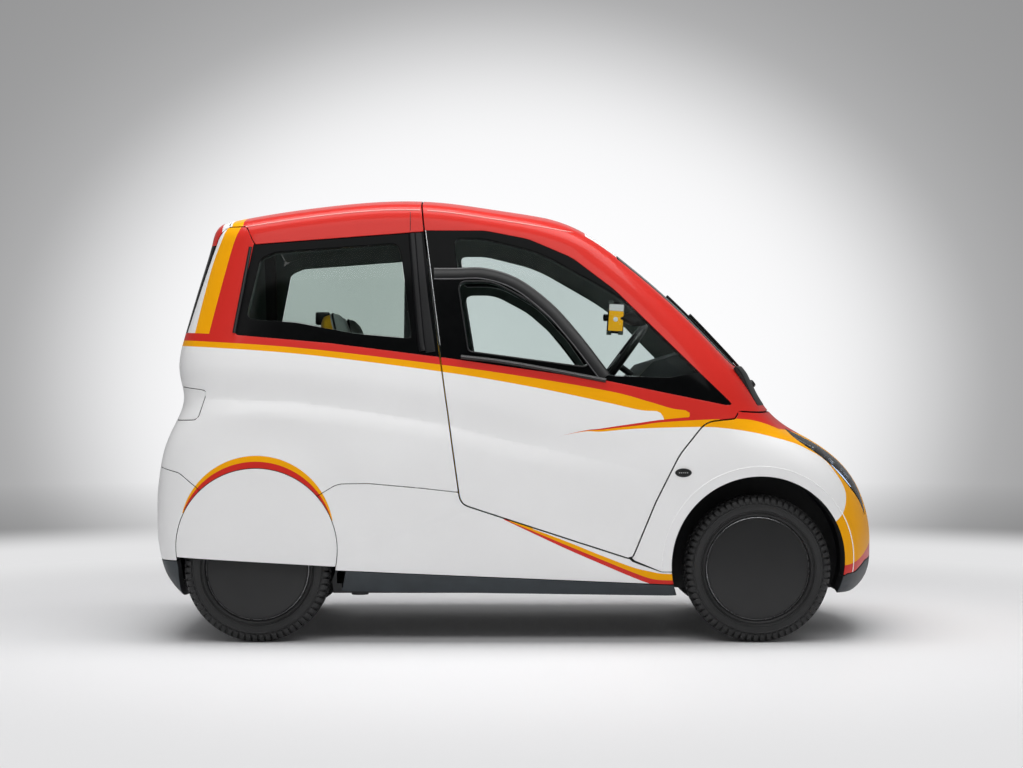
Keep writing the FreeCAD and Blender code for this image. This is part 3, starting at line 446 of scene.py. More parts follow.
def nearest(line, places):
    """Distance of each place to a polyline, and which side it lies on."""
    start, span = line[:-1], line[1:] - line[:-1]
    length = (span ** 2).sum(axis=1)
    keep = length > 0
    start, span, length = start[keep], span[keep], length[keep]
    best = np.full(len(places), np.inf)
    side = np.ones(len(places))
    for a, s, l in zip(start, span, length):
        away = places - a
        part = np.clip(away @ s / l, 0, 1)
        off = away - part[:, None] * s
        distance = np.sqrt((off ** 2).sum(axis=1))
        closer = distance < best - tiny ** 2
        best = np.where(closer, distance, best)
        turn = np.sign(s[0] * away[:, 1] - s[1] * away[:, 0])
        side = np.where(closer, turn, side)
    return best, side


def ring_field(line, axes=(0, 2)):
    """A field that is under 0 inside a closed outline."""
    closed = np.vstack([line, line[:1]])

    def field(points):
        places = points[:, axes]
        distance, _ = nearest(closed, places)
        inside = np.zeros(len(places), bool)
        for a, b in zip(closed[:-1], closed[1:]):
            crosses = (a[1] > places[:, 1]) != (b[1] > places[:, 1])
            rise = b[1] - a[1] if b[1] != a[1] else tiny
            inside ^= crosses & (places[:, 0] < (b[0] - a[0]) * (places[:, 1] - a[1]) / rise + a[0])
        return np.where(inside, -distance, distance)
    return field


def line_field(line, axes=(0, 2)):
    """A field that is under 0 to the right of a line, looking along it."""
    def field(points):
        distance, side = nearest(line, points[:, axes])
        return distance * side
    return field


def side_corners(shares):
    """A side view outline in metres, with its corners rounded."""
    return rounded([((x - 0.5) * car_length, z * car_height, r * car_length) for x, z, r in shares])


def side_ring(shares):
    return ring_field(side_corners(shares))


def front_ring(shares):
    corners = [(y * half_width, z * car_height, r * car_length) for y, z, r in shares]
    return ring_field(rounded(corners), axes=(1, 2))


def plan_ring(shares):
    corners = [(x * half_length, y * half_width, r * car_length) for x, y, r in shares]
    return ring_field(rounded(corners), axes=(0, 1))


def photo_line(pixels):
    return line_field(smooth_through(seen(pixels)[:, (0, 2)]))


def photo_ring(corners):
    """A closed outline by the photograph's pixels, with radii in pixels."""
    return ring_field(seen(rounded(corners))[:, (0, 2)])


def circle_field(x, z, radius):
    return lambda points: np.hypot(points[:, 0] - x, points[:, 2] - z) - radius


def arc_field(pixels):
    """A circle through three of the photograph's pixels, under 0 inside."""
    a, b, c = seen(pixels)[:, (0, 2)]
    rows = np.array([b - a, c - a])
    middle = np.linalg.solve(2 * rows, [b @ b - a @ a, c @ c - a @ a])
    return circle_field(middle[0], middle[1], np.linalg.norm(a - middle))


def plane_field(axis, at, sign=1):
    """A field that is under 0 below a level along an axis, or above it for sign -1."""
    return lambda points: sign * (points[:, axis] - at)


def both_fields(*fields):
    """Inside all the fields."""
    return lambda points: np.max([f(points) for f in fields], axis=0)


def any_field(*fields):
    return lambda points: np.min([f(points) for f in fields], axis=0)


def outside(field, gap=0.0):
    return lambda points: gap - field(points)


# Skins: points and faces that lie on the body's surface
def cut(skin, field):
    """The skin with its faces split where the field is 0."""
    points, faces = skin
    level = field(points)
    level[np.abs(level) < tiny] = 0
    fresh, made, result = [], {}, []
    values = level.tolist()
    for face in faces:
        signs = [values[i] for i in face]
        if min(signs) >= 0 or max(signs) <= 0:
            result.append(face)
            continue
        low, high = [], []
        for a, b, va, vb in zip(face, face[1:] + face[:1], signs, signs[1:] + signs[:1]):
            if va <= 0:
                low.append(a)
            if va >= 0:
                high.append(a)
            if va * vb < 0:
                key = (a, b) if a < b else (b, a)
                if key not in made:
                    part = va / (va - vb)
                    made[key] = len(points) + len(fresh)
                    fresh.append(points[a] + part * (points[b] - points[a]))
                low.append(made[key])
                high.append(made[key])
        for piece in (low, high):
            if len(piece) > 2:
                result.append(tuple(piece))
    if fresh:
        points = np.vstack([points, fresh])
    return points, result


def middles(skin):
    points, faces = skin
    sizes = np.array([len(f) for f in faces])
    flat = points[np.concatenate([np.array(f) for f in faces])]
    return np.add.reduceat(flat, np.concatenate([[0], np.cumsum(sizes)[:-1]])) / sizes[:, None]


def tidy(skin):
    """The skin without the points that no face uses."""
    points, faces = skin
    used = np.unique(np.concatenate([np.array(f) for f in faces]))
    place = np.full(len(points), -1)
    place[used] = np.arange(len(used))
    return points[used], [tuple(place[list(f)].tolist()) for f in faces]


def within(skin, *fields):
    """The part of the skin where every field is under 0."""
    for field in fields:
        level = field(skin[0])
        values = level.tolist()
        skin = tidy((skin[0], [f for f in skin[1] if min(values[i] for i in f) < 0]))
        skin = cut(skin, field)
        inside = field(middles(skin)) < 0
        skin = tidy((skin[0], [f for f, keep in zip(skin[1], inside) if keep]))
    return skin


def both_sides(skin):
    """The skin joined with its mirror image across the middle of the car."""
    points, faces = skin
    middle = np.abs(points[:, 1]) < tiny
    place = np.arange(len(points)) + len(points)
    place[middle] = np.nonzero(middle)[0]
    mirrored = points * [1, -1, 1]
    return tidy((np.vstack([points, mirrored]),
                 faces + [tuple(place[list(f)][::-1].tolist()) for f in faces]))


def coarse_body():
    """A closed mesh of the body made by rays from its middle."""
    rows, columns = 90, 180
    turn = np.arange(columns) * 2 * math.pi / columns
    rise = (np.arange(1, rows) / rows - 0.5) * math.pi
    rays = [[0, 0, -1.0]]
    for r in rise:
        rays += [[math.cos(r) * math.cos(t), math.cos(r) * math.sin(t), math.sin(r)] for t in turn]
    rays = np.array(rays + [[0, 0, 1.0]])
    centre = np.array([0, 0, car_height / 2])
    near, far = np.zeros(len(rays)), np.full(len(rays), 1.2 * half_length)

    def inside(half):
        points = centre + rays * half[:, None]
        return np.maximum(body_gap(points), wall_low_share * car_height - points[:, 2]) < 0
    near, _ = halved(near, far, inside, 24)
    points = centre + rays * near[:, None]
    faces = []
    for i in range(columns):
        j = (i + 1) % columns
        faces.append((0, 1 + j, 1 + i))
        faces.append((len(rays) - 1, 1 + (rows - 2) * columns + i, 1 + (rows - 2) * columns + j))
        for k in range(rows - 2):
            low, high = 1 + k * columns, 1 + (k + 1) * columns
            faces.append((low + i, low + j, high + j, high + i))
    return points, faces


def body_skin():
    """The body's right half as an even mesh on its surface."""
    points, faces = coarse_body()
    mesh = bpy.data.meshes.new("body_skin")
    mesh.from_pydata(points.tolist(), [], faces)
    body = bpy.data.objects.new("body_skin", mesh)
    bpy.context.collection.objects.link(body)
    remesh = body.modifiers.new("even", "REMESH")
    remesh.mode = "VOXEL"
    remesh.voxel_size = skin_pitch
    fine = body.evaluated_get(bpy.context.evaluated_depsgraph_get()).to_mesh()
    count = len(fine.vertices)
    places = np.empty(count * 3)
    fine.vertices.foreach_get("co", places)
    faces = [tuple(p.vertices) for p in fine.polygons]
    places = places.reshape(-1, 3)
    bpy.data.objects.remove(body)
    low = wall_low_share * car_height + skin_pitch
    skin = tidy((places, [f for f in faces if min(places[i][2] for i in f) > low]))
    skin = tidy((skin[0], [f for f in skin[1] if min(skin[0][i][1] for i in f) < 2 * skin_pitch]))
    skin = (on_surface(skin[0]), skin[1])
    return within(skin, plane_field(1, 0.0))


# Solid panels from skins
def link_mesh(name, points, faces, paint=None, normals=None, materials=()):
    mesh = bpy.data.meshes.new(name)
    mesh.from_pydata(np.asarray(points).tolist(), [], faces)
    for material in materials:
        mesh.materials.append(material)
    if paint is not None:
        mesh.polygons.foreach_set("material_index", np.array(paint, dtype=np.int32))
    mesh.polygons.foreach_set("use_smooth", np.ones(len(faces), dtype=bool))
    mesh.validate()
    if normals is not None:
        mesh.normals_split_custom_set(np.asarray(normals).tolist())
    mesh.update()
    piece = bpy.data.objects.new(name, mesh)
    bpy.context.collection.objects.link(piece)
    return piece


def rim_of(faces):
    """The edges that only one face uses, in that face's direction."""
    edges = {}
    for f, face in enumerate(faces):
        for a, b in zip(face, face[1:] + face[:1]):
            edges[(a, b)] = f
    return [(a, b, f) for (a, b), f in edges.items() if (b, a) not in edges]


def panel(name, skin, paint, materials, depth=panel_depth, lip=lip_radius, sink=0.0, inner=0, edge=None):
    """A solid panel under a skin, with a rounded lip. inner and edge name its back's and edges' materials."""
    points, faces = skin
    if isinstance(paint, int):
        paint = [paint] * len(faces)
    points = on_surface(points, 2)
    normal = outward(points)
    points = points - normal * sink
    rim = rim_of(faces)
    ahead, behind = {}, {}
    for a, b, f in rim:
        ahead[a], behind[b] = b, a
    ring = sorted(set(ahead) & set(behind))
    where = np.array(ring)
    along = points[[ahead[i] for i in ring]] - points[[behind[i] for i in ring]]
    out = np.cross(along, normal[where])
    out /= np.linalg.norm(out, axis=1)[:, None] + tiny ** 2
    count, size = len(points), len(ring)
    slant = math.sqrt(0.5)
    on, down = points[where], normal[where]
    rows = [(on + out * lip * slant - down * lip * (1 - slant), (out + down) * slant),
            (on + out * lip - down * lip, out),
            (on + out * lip - down * depth, out)]
    back = points - normal * depth
    back[where] = rows[2][0]
    everything = np.vstack([points, rows[0][0], rows[1][0], back])
    place = {v: i for i, v in enumerate(ring)}
    result, colours, shades = list(faces), list(paint), [normal[list(f)] for f in faces]
    base = [count, count + size]
    for a, b, f in rim:
        if a not in place or b not in place:
            continue
        i, j = place[a], place[b]
        steps = [((a, normal[a]), (b, normal[b])),
                 ((base[0] + i, rows[0][1][i]), (base[0] + j, rows[0][1][j])),
                 ((base[1] + i, out[i]), (base[1] + j, out[j])),
                 ((count + 2 * size + a, out[i]), (count + 2 * size + b, out[j]))]
        for row, ((p, q), (r, s)) in enumerate(zip(steps, steps[1:])):
            result.append((q[0], p[0], r[0], s[0]))
            shades.append(np.array([q[1], p[1], r[1], s[1]]))
            colours.append(edge if row == 2 and edge is not None else paint[f])
    shift = count + 2 * size
    for f in faces:
        turned = f[::-1]
        result.append(tuple(v + shift for v in turned))
        shades.append(-normal[list(turned)])
        colours.append(inner)
    return link_mesh(name, everything, result, colours, np.vstack(shades), materials)


def painted(skin, lines, choose):
    """The skin cut along every line, and each face's colour chosen by the lines' sides."""
    for line in lines:
        skin = cut(skin, line)
    centre = middles(skin)
    return skin, choose(*[line(centre) for line in lines])


# Materials
def wired(tree, kind, *inputs, operation=None, **named):
    """A new node whose inputs are set or linked, by their place or by their name."""
    made = tree.nodes.new(kind)
    if operation:
        made.operation = operation
    for key, value in [*enumerate(inputs), *((k.replace("_", " "), v) for k, v in named.items())]:
        if isinstance(value, bpy.types.NodeSocket):
            tree.links.new(value, made.inputs[key])
        else:
            made.inputs[key].default_value = value
    return made


class Shader:
    """A material being built from nodes."""

    def __init__(self, name, colour, roughness, metallic=0.0):
        self.material = bpy.data.materials.new(name)
        self.material.use_nodes = True
        self.tree = self.material.node_tree
        self.bsdf = self.tree.nodes["Principled BSDF"]
        self.bsdf.inputs["Base Color"].default_value = (*colour, 1)
        self.bsdf.inputs["Roughness"].default_value = roughness
        self.bsdf.inputs["Metallic"].default_value = metallic
        self.colour, self.roughness = colour, roughness

    def node(self, kind, *inputs, **named):
        return wired(self.tree, kind, *inputs, **named)

    def place(self):
        return self.node("ShaderNodeTexCoord").outputs["Object"]

    def noise(self, scale, detail=3.0):
        return self.node("ShaderNodeTexNoise", Vector=self.place(), Scale=scale, Detail=detail).outputs["Fac"]

    def vary(self, scale, amount, detail=3.0):
        """Lets the base colour drift a little lighter and darker."""
        ramp = self.node("ShaderNodeValToRGB", Fac=self.noise(scale, detail))
        dark = [max(c * (1 - amount), 0) for c in self.colour]
        light = [min(c * (1 + amount), 1) for c in self.colour]
        ramp.color_ramp.elements[0].color = (*dark, 1)
        ramp.color_ramp.elements[1].color = (*light, 1)
        ramp.color_ramp.elements[0].position = 0.3
        ramp.color_ramp.elements[1].position = 0.7
        self.tree.links.new(ramp.outputs["Color"], self.bsdf.inputs["Base Color"])
        return self

    def rough(self, scale, low, high):
        reach = self.node("ShaderNodeMapRange", Value=self.noise(scale), To_Min=low, To_Max=high)
        self.tree.links.new(reach.outputs["Result"], self.bsdf.inputs["Roughness"])
        return self

    def bump(self, height, strength, distance):
        made = self.node("ShaderNodeBump", Height=height, Strength=strength, Distance=distance)
        self.tree.links.new(made.outputs["Normal"], self.bsdf.inputs["Normal"])
        return self

    def set(self, **inputs):
        for key, value in inputs.items():
            self.bsdf.inputs[key.replace("_", " ")].default_value = value
        return self


def car_paint(name, colour, coat=0.3):
    shader = Shader(name, colour, 0.35).vary(3.0, 0.015).rough(40.0, 0.3, 0.4)
    shader.set(Specular_IOR_Level=0.45 * coat, Coat_Weight=coat, Coat_Roughness=0.06, Coat_IOR=1.35)
    return shader.material


def moulded(name, colour, roughness=0.45, grain=900.0, strength=0.15):
    shader = Shader(name, colour, roughness).vary(20.0, 0.12).rough(60.0, roughness - 0.06, roughness + 0.06)
    shader.bump(shader.noise(grain), strength, 0.0004)
    return shader.material


def clear(name, colour, index=1.1):
    return Shader(name, colour, 0.0).vary(2.0, 0.02).set(Transmission_Weight=1.0, IOR=index).material


def fabric(name, colours, facing=(0, 0, 0), split=0.0):
    """A woven cloth, in two colours on either side of a plane."""
    shader = Shader(name, colours[0], 0.85)
    shader.set(Sheen_Weight=0.25, Sheen_Roughness=0.5, Specular_IOR_Level=0.2)
    waves = []
    for axis in "XYZ":
        wave = shader.node("ShaderNodeTexWave", Vector=shader.place(), Scale=weave_scale, Distortion=0.6)
        wave.bands_direction = axis
        waves.append(wave.outputs["Fac"])
    weave = shader.node("ShaderNodeMath", shader.node("ShaderNodeMath", *waves[:2]).outputs[0], waves[2])
    place = shader.node("ShaderNodeVectorMath", shader.place(), facing, operation="DOT_PRODUCT")
    side = shader.node("ShaderNodeMapRange", Value=place.outputs["Value"], From_Min=split - 0.001,
                       From_Max=split + 0.001)
    tones = []
    for colour in colours:
        ramp = shader.node("ShaderNodeValToRGB", Fac=shader.noise(260.0))
        ramp.color_ramp.elements[0].color = (*[c * 0.78 for c in colour], 1)
        ramp.color_ramp.elements[1].color = (*[min(c * 1.15, 1) for c in colour], 1)
        tones.append(ramp.outputs["Color"])
    mix = shader.node("ShaderNodeMixRGB", side.outputs["Result"], *tones)
    shader.tree.links.new(mix.outputs[0], shader.bsdf.inputs["Base Color"])
    return shader.bump(weave.outputs[0], 0.5, 0.0006).material


white_paint = car_paint("white_paint", (0.82, 0.82, 0.82))
red_paint = car_paint("red_paint", (0.6, 0.024, 0.017))
yellow_paint = car_paint("yellow_paint", (0.86, 0.375, 0.004), 0.1)
black_gloss = Shader("black_gloss", (0.0025, 0.0028, 0.003), 0.12).rough(30.0, 0.08, 0.16)
black_gloss = black_gloss.vary(40.0, 0.1).set(Specular_IOR_Level=0.045).material
sill_grey = moulded("sill_grey", (0.022, 0.029, 0.035), 0.5)
# Black for seals, seams and the wiper blade, and for panels' deep edges, where it is partly painted shade in
# the gaps.
seal_and_shade_black = moulded("seal_and_shade_black", (0.01, 0.01, 0.011), 0.55)
trim_green = moulded("trim_green", (0.12, 0.155, 0.14), 0.75, 300.0, 0.08)
glass = clear("window_glass", (0.7, 0.755, 0.745))
rear_tint = clear("rear_window_glass", (0.575, 0.635, 0.61))
lens = clear("lamp_lens", (0.9, 0.92, 0.95), 1.25)
tail_red = Shader("tail_red", (0.35, 0.005, 0.005), 0.15).vary(60.0, 0.2).set(Coat_Weight=0.5).material
smoked_lens = clear("smoked_lens", (0.4, 0.42, 0.45))
lamp_glow = Shader("lamp_glow", (0.7, 0.8, 1.0), 0.3).vary(50.0, 0.05)
lamp_glow = lamp_glow.set(Emission_Color=(0.62, 0.75, 1.0, 1), Emission_Strength=3.0).material
# Light grey for thin lines on the arch bar's edges and the window rail's top: a painted highlight.
painted_highlight_grey = moulded("painted_highlight_grey", (0.12, 0.12, 0.125), 0.3)
pale_light = Shader("pale_light", (0.5, 0.5, 0.5), 0.3).vary(90.0, 0.1).material
# Whiter than the white paint, for the bead round each front arch: a painted highlight.
painted_highlight_white = Shader("painted_highlight_white", (0.93, 0.93, 0.93), 0.2).vary(3.0, 0.01).set(Coat_Weight=0.6).material
screen_yellow = Shader("screen_yellow", (0.85, 0.42, 0.01), 0.2).vary(60.0, 0.03)
screen_yellow = screen_yellow.set(Emission_Color=(0.85, 0.42, 0.01, 1), Emission_Strength=0.75).material
screen_white = Shader("screen_white", (0.75, 0.76, 0.76), 0.2).vary(60.0, 0.03)
screen_white = screen_white.set(Emission_Color=(0.75, 0.76, 0.76, 1), Emission_Strength=0.6).material
clip_green = moulded("clip_green", (0.16, 0.2, 0.18), 0.5)
pod_black = Shader("pod_black", (0.02, 0.013, 0.013), 0.2).vary(20.0, 0.1).set(Coat_Weight=0.8).material
bright_trim = Shader("bright_trim", (0.55, 0.56, 0.57), 0.25, 1.0).rough(80.0, 0.2, 0.3).material
rubber = moulded("tyre_rubber", (0.014, 0.014, 0.0145), 0.55, 500.0, 0.2)
disc_black = Shader("wheel_disc_black", (0.016, 0.016, 0.0165), 0.34, 0.2).vary(8.0, 0.1)
disc_black = disc_black.rough(25.0, 0.34, 0.44).material
disc_edge = Shader("wheel_edge_metal", (0.3, 0.3, 0.31), 0.28, 1.0).rough(60.0, 0.22, 0.34).material
satin_black = moulded("satin_black", (0.007, 0.0073, 0.0078), 0.34)
chassis_black = moulded("chassis_black", (0.016, 0.017, 0.018), 0.6, 250.0, 0.3)
cast_metal = Shader("cast_metal", (0.22, 0.22, 0.23), 0.5, 0.9).vary(30.0, 0.2)
cast_metal = cast_metal.bump(cast_metal.noise(400.0), 0.4, 0.0006).material
forged_iron = Shader("forged_iron", (0.05, 0.05, 0.052), 0.5, 0.7).vary(30.0, 0.25)
forged_iron = forged_iron.rough(50.0, 0.42, 0.6).material
seat_grey, seat_yellow = (0.48, 0.52, 0.5), (0.95, 0.48, 0.012)
pad_fabric = fabric("seat_fabric", (seat_grey, seat_grey))
driver_back_fabric, rear_back_fabric = [
    fabric(name, (seat_yellow, seat_grey), (math.cos(lean), 0, math.sin(lean)), split)
    for name, lean, split in (("driver_back_fabric", driver_lean, driver_split),
                              ("rear_back_fabric", rear_lean, rear_split))]
piping_black = moulded("piping_black", (0.008, 0.008, 0.008), 0.6)
pillar_satin = Shader("pillar_satin", (0.0045, 0.0047, 0.0055), 0.3).vary(30.0, 0.1).rough(60.0, 0.27, 0.33)
pillar_satin = pillar_satin.set(Specular_IOR_Level=0.22).material
# Paler red than the roof paint, for the strips along the roof edges: a painted highlight.
painted_highlight_red = Shader("painted_highlight_red", (0.72, 0.13, 0.11), 0.22).vary(3.0, 0.02).set(Coat_Weight=0.8).material
cabin_dark = moulded("cabin_dark", (0.03, 0.034, 0.034), 0.65, 600.0, 0.35)
carried = {
    "tub": chassis_black, "front_subframe": forged_iron, "rear_axle": forged_iron, "engine": cast_metal,
    "knuckle_right": forged_iron, "knuckle_left": forged_iron, "dashboard": cabin_dark,
    "steering_wheel": satin_black, "driver_seat": cabin_dark, "rear_seats": cabin_dark}
for node, material in carried.items():
    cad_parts[node].data.materials.clear()
    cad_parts[node].data.materials.append(material)
body_materials = [white_paint, red_paint, yellow_paint, black_gloss, trim_green, seal_and_shade_black, sill_grey]
# Panel edges deeper than the lip take the seal black: seals and liners in part, painted shade in the gaps in
# part.
WHITE, RED, YELLOW, BLACK, TRIM, SEAL_AND_SHADE, GREY = range(7)


# Turned pieces and strips that follow a path
def shell_of(name, points, faces, materials, paint=None, body=None, slot=None, replaces=()):
    """A closed piece whose faces are turned outwards."""
    points = np.asarray(points, float)
    volume = 0.0
    for face in faces:
        for b, c in zip(face[1:], face[2:]):
            volume += float(np.dot(points[face[0]], np.cross(points[b], points[c])))
    if volume < 0:
        faces = [tuple(f[::-1]) for f in faces]
    piece = link_mesh(name, points, faces, paint, None, materials)
    if body:
        finish_piece(piece, body, slot, replaces)
    return piece


def fitting(name, form, material, slot="cabin_plastic", sharp=None):
    """A closed piece of one material on the canopy, from its points and faces."""
    piece = shell_of(name, *form, [material], None, "canopy", slot)
    if sharp:
        crisp(piece, sharp)


def finish_piece(piece, body, slot, replaces=()):
    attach(piece, body)
    if replaces:
        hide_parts(*replaces)


def crisp(piece, angle=35):
    """Sharp shading over edges steeper than an angle in degrees."""
    piece.data.set_sharp_from_angle(angle=math.radians(angle))
    return piece


def turned(profile, steps):
    """Points and faces of a closed profile of radius and height, turned about Z."""
    turn = np.arange(steps) * 2 * math.pi / steps
    points = [(r * math.cos(t), r * math.sin(t), h) for t in turn for r, h in profile]
    size = len(profile)
    faces = []
    for i in range(steps):
        for j in range(size):
            k = (j + 1) % size
            a, b = i * size, (i + 1) % steps * size
            if profile[j][0] == 0 and profile[k][0] == 0:
                continue
            if profile[j][0] == 0:
                faces.append((a + j, a + k, b + k))
            elif profile[k][0] == 0:
                faces.append((a + j, a + k, b + j))
            else:
                faces.append((a + j, a + k, b + k, b + j))
    points, faces = np.array(points), faces
    for j in range(size):
        if profile[j][0] == 0:
            same = {i * size + j: j for i in range(1, steps)}
            faces = [tuple(same.get(v, v) for v in f) for f in faces]
    return tidy((points, faces))


def along(path, up, section, closed=False):
    """A section of across and up distances carried along a path. up is the outward direction on the path."""
    path, up = np.asarray(path, float), np.asarray(up, float)
    if closed:
        run = np.roll(path, -1, axis=0) - np.roll(path, 1, axis=0)
    else:
        run = np.gradient(path, axis=0)
    run /= np.linalg.norm(run, axis=1)[:, None]
    across = np.cross(up, run)
    across /= np.linalg.norm(across, axis=1)[:, None]
    rise = np.cross(run, across)
    section = np.asarray(section, float)
    if section.ndim == 2:
        section = np.broadcast_to(section, (len(path),) + section.shape)
    points = path[:, None] + across[:, None] * section[..., :1] + rise[:, None] * section[..., 1:]
    size, count = section.shape[1], len(path)
    faces = []
    for i in range(count if closed else count - 1):
        a, b = i * size, (i + 1) % count * size
        faces += [(a + j, a + (j + 1) % size, b + (j + 1) % size, b + j) for j in range(size)]
    if not closed:
        faces += [tuple(range(size))[::-1], tuple(range((count - 1) * size, count * size))]
    return points.reshape(-1, 3), faces


def half_round(width, height, sink=0.001, steps=8):
    """The section of a low rounded strip."""
    turn = np.linspace(0, math.pi, steps + 1)
    return [(-width / 2, -sink)] + [(-width / 2 * math.cos(t),
                                     height * math.sin(t)) for t in turn] + [(width / 2, -sink)]


def round_section(radius, steps=10):
    return [(radius * math.cos(t), radius * math.sin(t)) for t in np.arange(steps) * 2 * math.pi / steps]


def photo_path(pixels, steps=10):
    """A smooth path on the body's right side through pixels, and the outward directions on it."""
    path = on_surface(smooth_through(seen(pixels), steps))
    return path, outward(path)


def two_sided(name, points, faces, materials, body, slot, sharp=None, node=None):
    """A piece on the right and its mirror image on the left."""
    for side, sign in (("right", 1), ("left", -1)):
        piece = shell_of(name + "_" + side, np.asarray(points) * [1, sign, 1], faces, materials, None, body,
                         slot,
                         [node + "_" + side] if node else ())
        if sharp:
            crisp(piece, sharp)


def photo_strip(name, pixels, section, material, body, slot="trim_dark", lift=0.0, steps=10):
    path, up = photo_path(pixels, steps)
    points, faces = along(path + up * lift, up, section)
    two_sided(name, points, faces, [material], body, slot, sharp=50)


# Panels
whole_skin = body_skin()
whole_skin = cut(whole_skin, line_field(np.transpose(at_side(valley_px))))
whole_skin = cut(whole_skin,
                 circle_field(front_arch_x, tyre_radius + front_arch_rise,
                              front_arch_radius + arch_lip_width))
canopy_ring = side_ring(canopy_outline_shares)
front_arch = circle_field(front_arch_x, tyre_radius + front_arch_rise, front_arch_radius)
spat_circle = circle_field(rear_axle_x, tyre_radius + spat_rise, spat_radius)
tailgate_front = front_ring(tailgate_shares)
tailgate_ring = both_fields(tailgate_front, plane_field(0, tailgate_seam_x))
windscreen_ring = both_fields(front_ring(windscreen_shares),
                              plane_field(0, windscreen_top_share * half_length, -1))
canopy_black = photo_ring(canopy_black_px)
rear_black = photo_ring(rear_black_px)
upper_window = side_ring(upper_window_shares)
slide_window = side_ring(slide_window_shares)
quarter_window = side_ring(quarter_window_shares)
belt_top, belt_middle, belt_low = [photo_line(p) for p in (belt_red_top_px, belt_middle_px, belt_low_px)]
spear_top, spear_middle, spear_low = [photo_line(p) for p in (spear_top_px, spear_middle_px, spear_low_px)]
half_shut, half_seam = shut_gap / 2 + lip_radius, seam_gap / 2 + lip_radius


def inside_by(field, gap):
    """The field moved inward by a gap."""
    return lambda points: field(points) + gap


fixed = [
    outside(canopy_ring, half_shut), outside(tailgate_ring, half_shut), outside(front_arch, 0.001),
    outside(spat_circle, half_seam)]


def fixed_part(shares, gap=half_seam, holes=()):
    return within(whole_skin, inside_by(side_ring(shares), gap), *fixed, *holes)


def pair(name, node, skin, paint, body, slot, **options):
    """A panel on the right and its mirror image on the left, both for CAD nodes."""
    for side in ("right", "left"):
        # The deep edges are black: seals in part, painted shade in the gaps in part.
        piece = panel(name + "_" + side, skin, paint, body_materials, edge=SEAL_AND_SHADE, **options)
        if side == "left":
            flip(piece)
        finish_piece(piece, body, slot, [node + "_" + side] if node else ())


def two_panels(name, skin, material, body, slot, node=None, **options):
    """A panel of one material on the right and its mirror image on the left."""
    for side in ("right", "left"):
        piece = panel(name + "_" + side, skin, 0, [material], **options)
        if side == "left":
            flip(piece)
        finish_piece(piece, body, slot, [node + "_" + side] if node else ())


def flip(piece):
    """Mirrors a piece across the middle of the car, with its normals."""
    mesh = piece.data
    normals = [tuple(n.vector) for n in mesh.corner_normals]
    polygons = [tuple(p.vertices) for p in mesh.polygons]
    starts = [p.loop_start for p in mesh.polygons]
    paint = [p.material_index for p in mesh.polygons]
    points = [(v.co.x, -v.co.y, v.co.z) for v in mesh.vertices]
    shades = []
    for start, polygon in zip(starts, polygons):
        for i in reversed(range(len(polygon))):
            x, y, z = normals[start + i]
            shades.append((x, -y, z))
    fresh = bpy.data.meshes.new(mesh.name + "_flip")
    fresh.from_pydata(points, [], [p[::-1] for p in polygons])
    for material in mesh.materials:
        fresh.materials.append(material)
    fresh.polygons.foreach_set("material_index", paint)
    fresh.polygons.foreach_set("use_smooth", [True] * len(polygons))
    fresh.normals_split_custom_set(shades)
    fresh.update()
    piece.data = fresh


def central(name, nodes, skin, paint, body, slot, **options):
    """A panel that crosses the middle of the car."""
    paint = paint if isinstance(paint, int) else list(paint) * 2
    # The deep edges are black: seals in part, painted shade in the gaps in part.
    finish_piece(panel(name, both_sides(skin), paint, body_materials, edge=SEAL_AND_SHADE, **options), body, slot,
                 nodes)


def canopy_paint(middle, low, spear_a, spear_b, spear_c, header):
    """Red above the belt, its yellow stripe, and the red and yellow spear below."""
    colour = np.full(len(middle), WHITE)
    colour[low > 0] = YELLOW
    colour[middle > 0] = RED
    colour[spear_a < 0] = WHITE
    colour[(spear_a < 0) & (spear_b > 0)] = RED
    colour[(spear_b < 0) & (spear_c > 0)] = YELLOW
    colour[header < 0] = WHITE
    return colour


def canopy_panel():
    skin = within(whole_skin, inside_by(canopy_ring, half_shut),
                  outside(canopy_black, half_seam - lip_radius),
                  outside(windscreen_ring, half_seam))
    header = both_fields(plane_field(0, header_low_x), plane_field(0, header_high_x, -1),
                         plane_field(1, -header_half_width, -1))
    skin, colours = painted(skin, [belt_middle, belt_low, spear_top, spear_middle, spear_low, header],
                            canopy_paint)
    central("canopy_panel", ["canopy_shell"], skin, colours, "canopy", "body_red", inner=TRIM)


def glasshouse():
    """Black surrounds and panes in the canopy's sides and behind them."""
    skin = within(whole_skin, inside_by(canopy_ring, half_shut), inside_by(canopy_black, seam_gap / 2),
                  outside(upper_window, lip_radius), outside(slide_window, lip_radius))
    pair("canopy_surround", None, skin, BLACK, "canopy", "trim_dark", depth=0.02, sink=0.0008)
    for name, ring in (("upper_pane", upper_window), ("slide_pane", slide_window)):
        skin = within(whole_skin, inside_by(ring, seam_gap))
        two_panels(name, skin, glass, "canopy", "glass", "canopy_glass", depth=pane_depth, lip=0.0005,
                   sink=pane_sink)


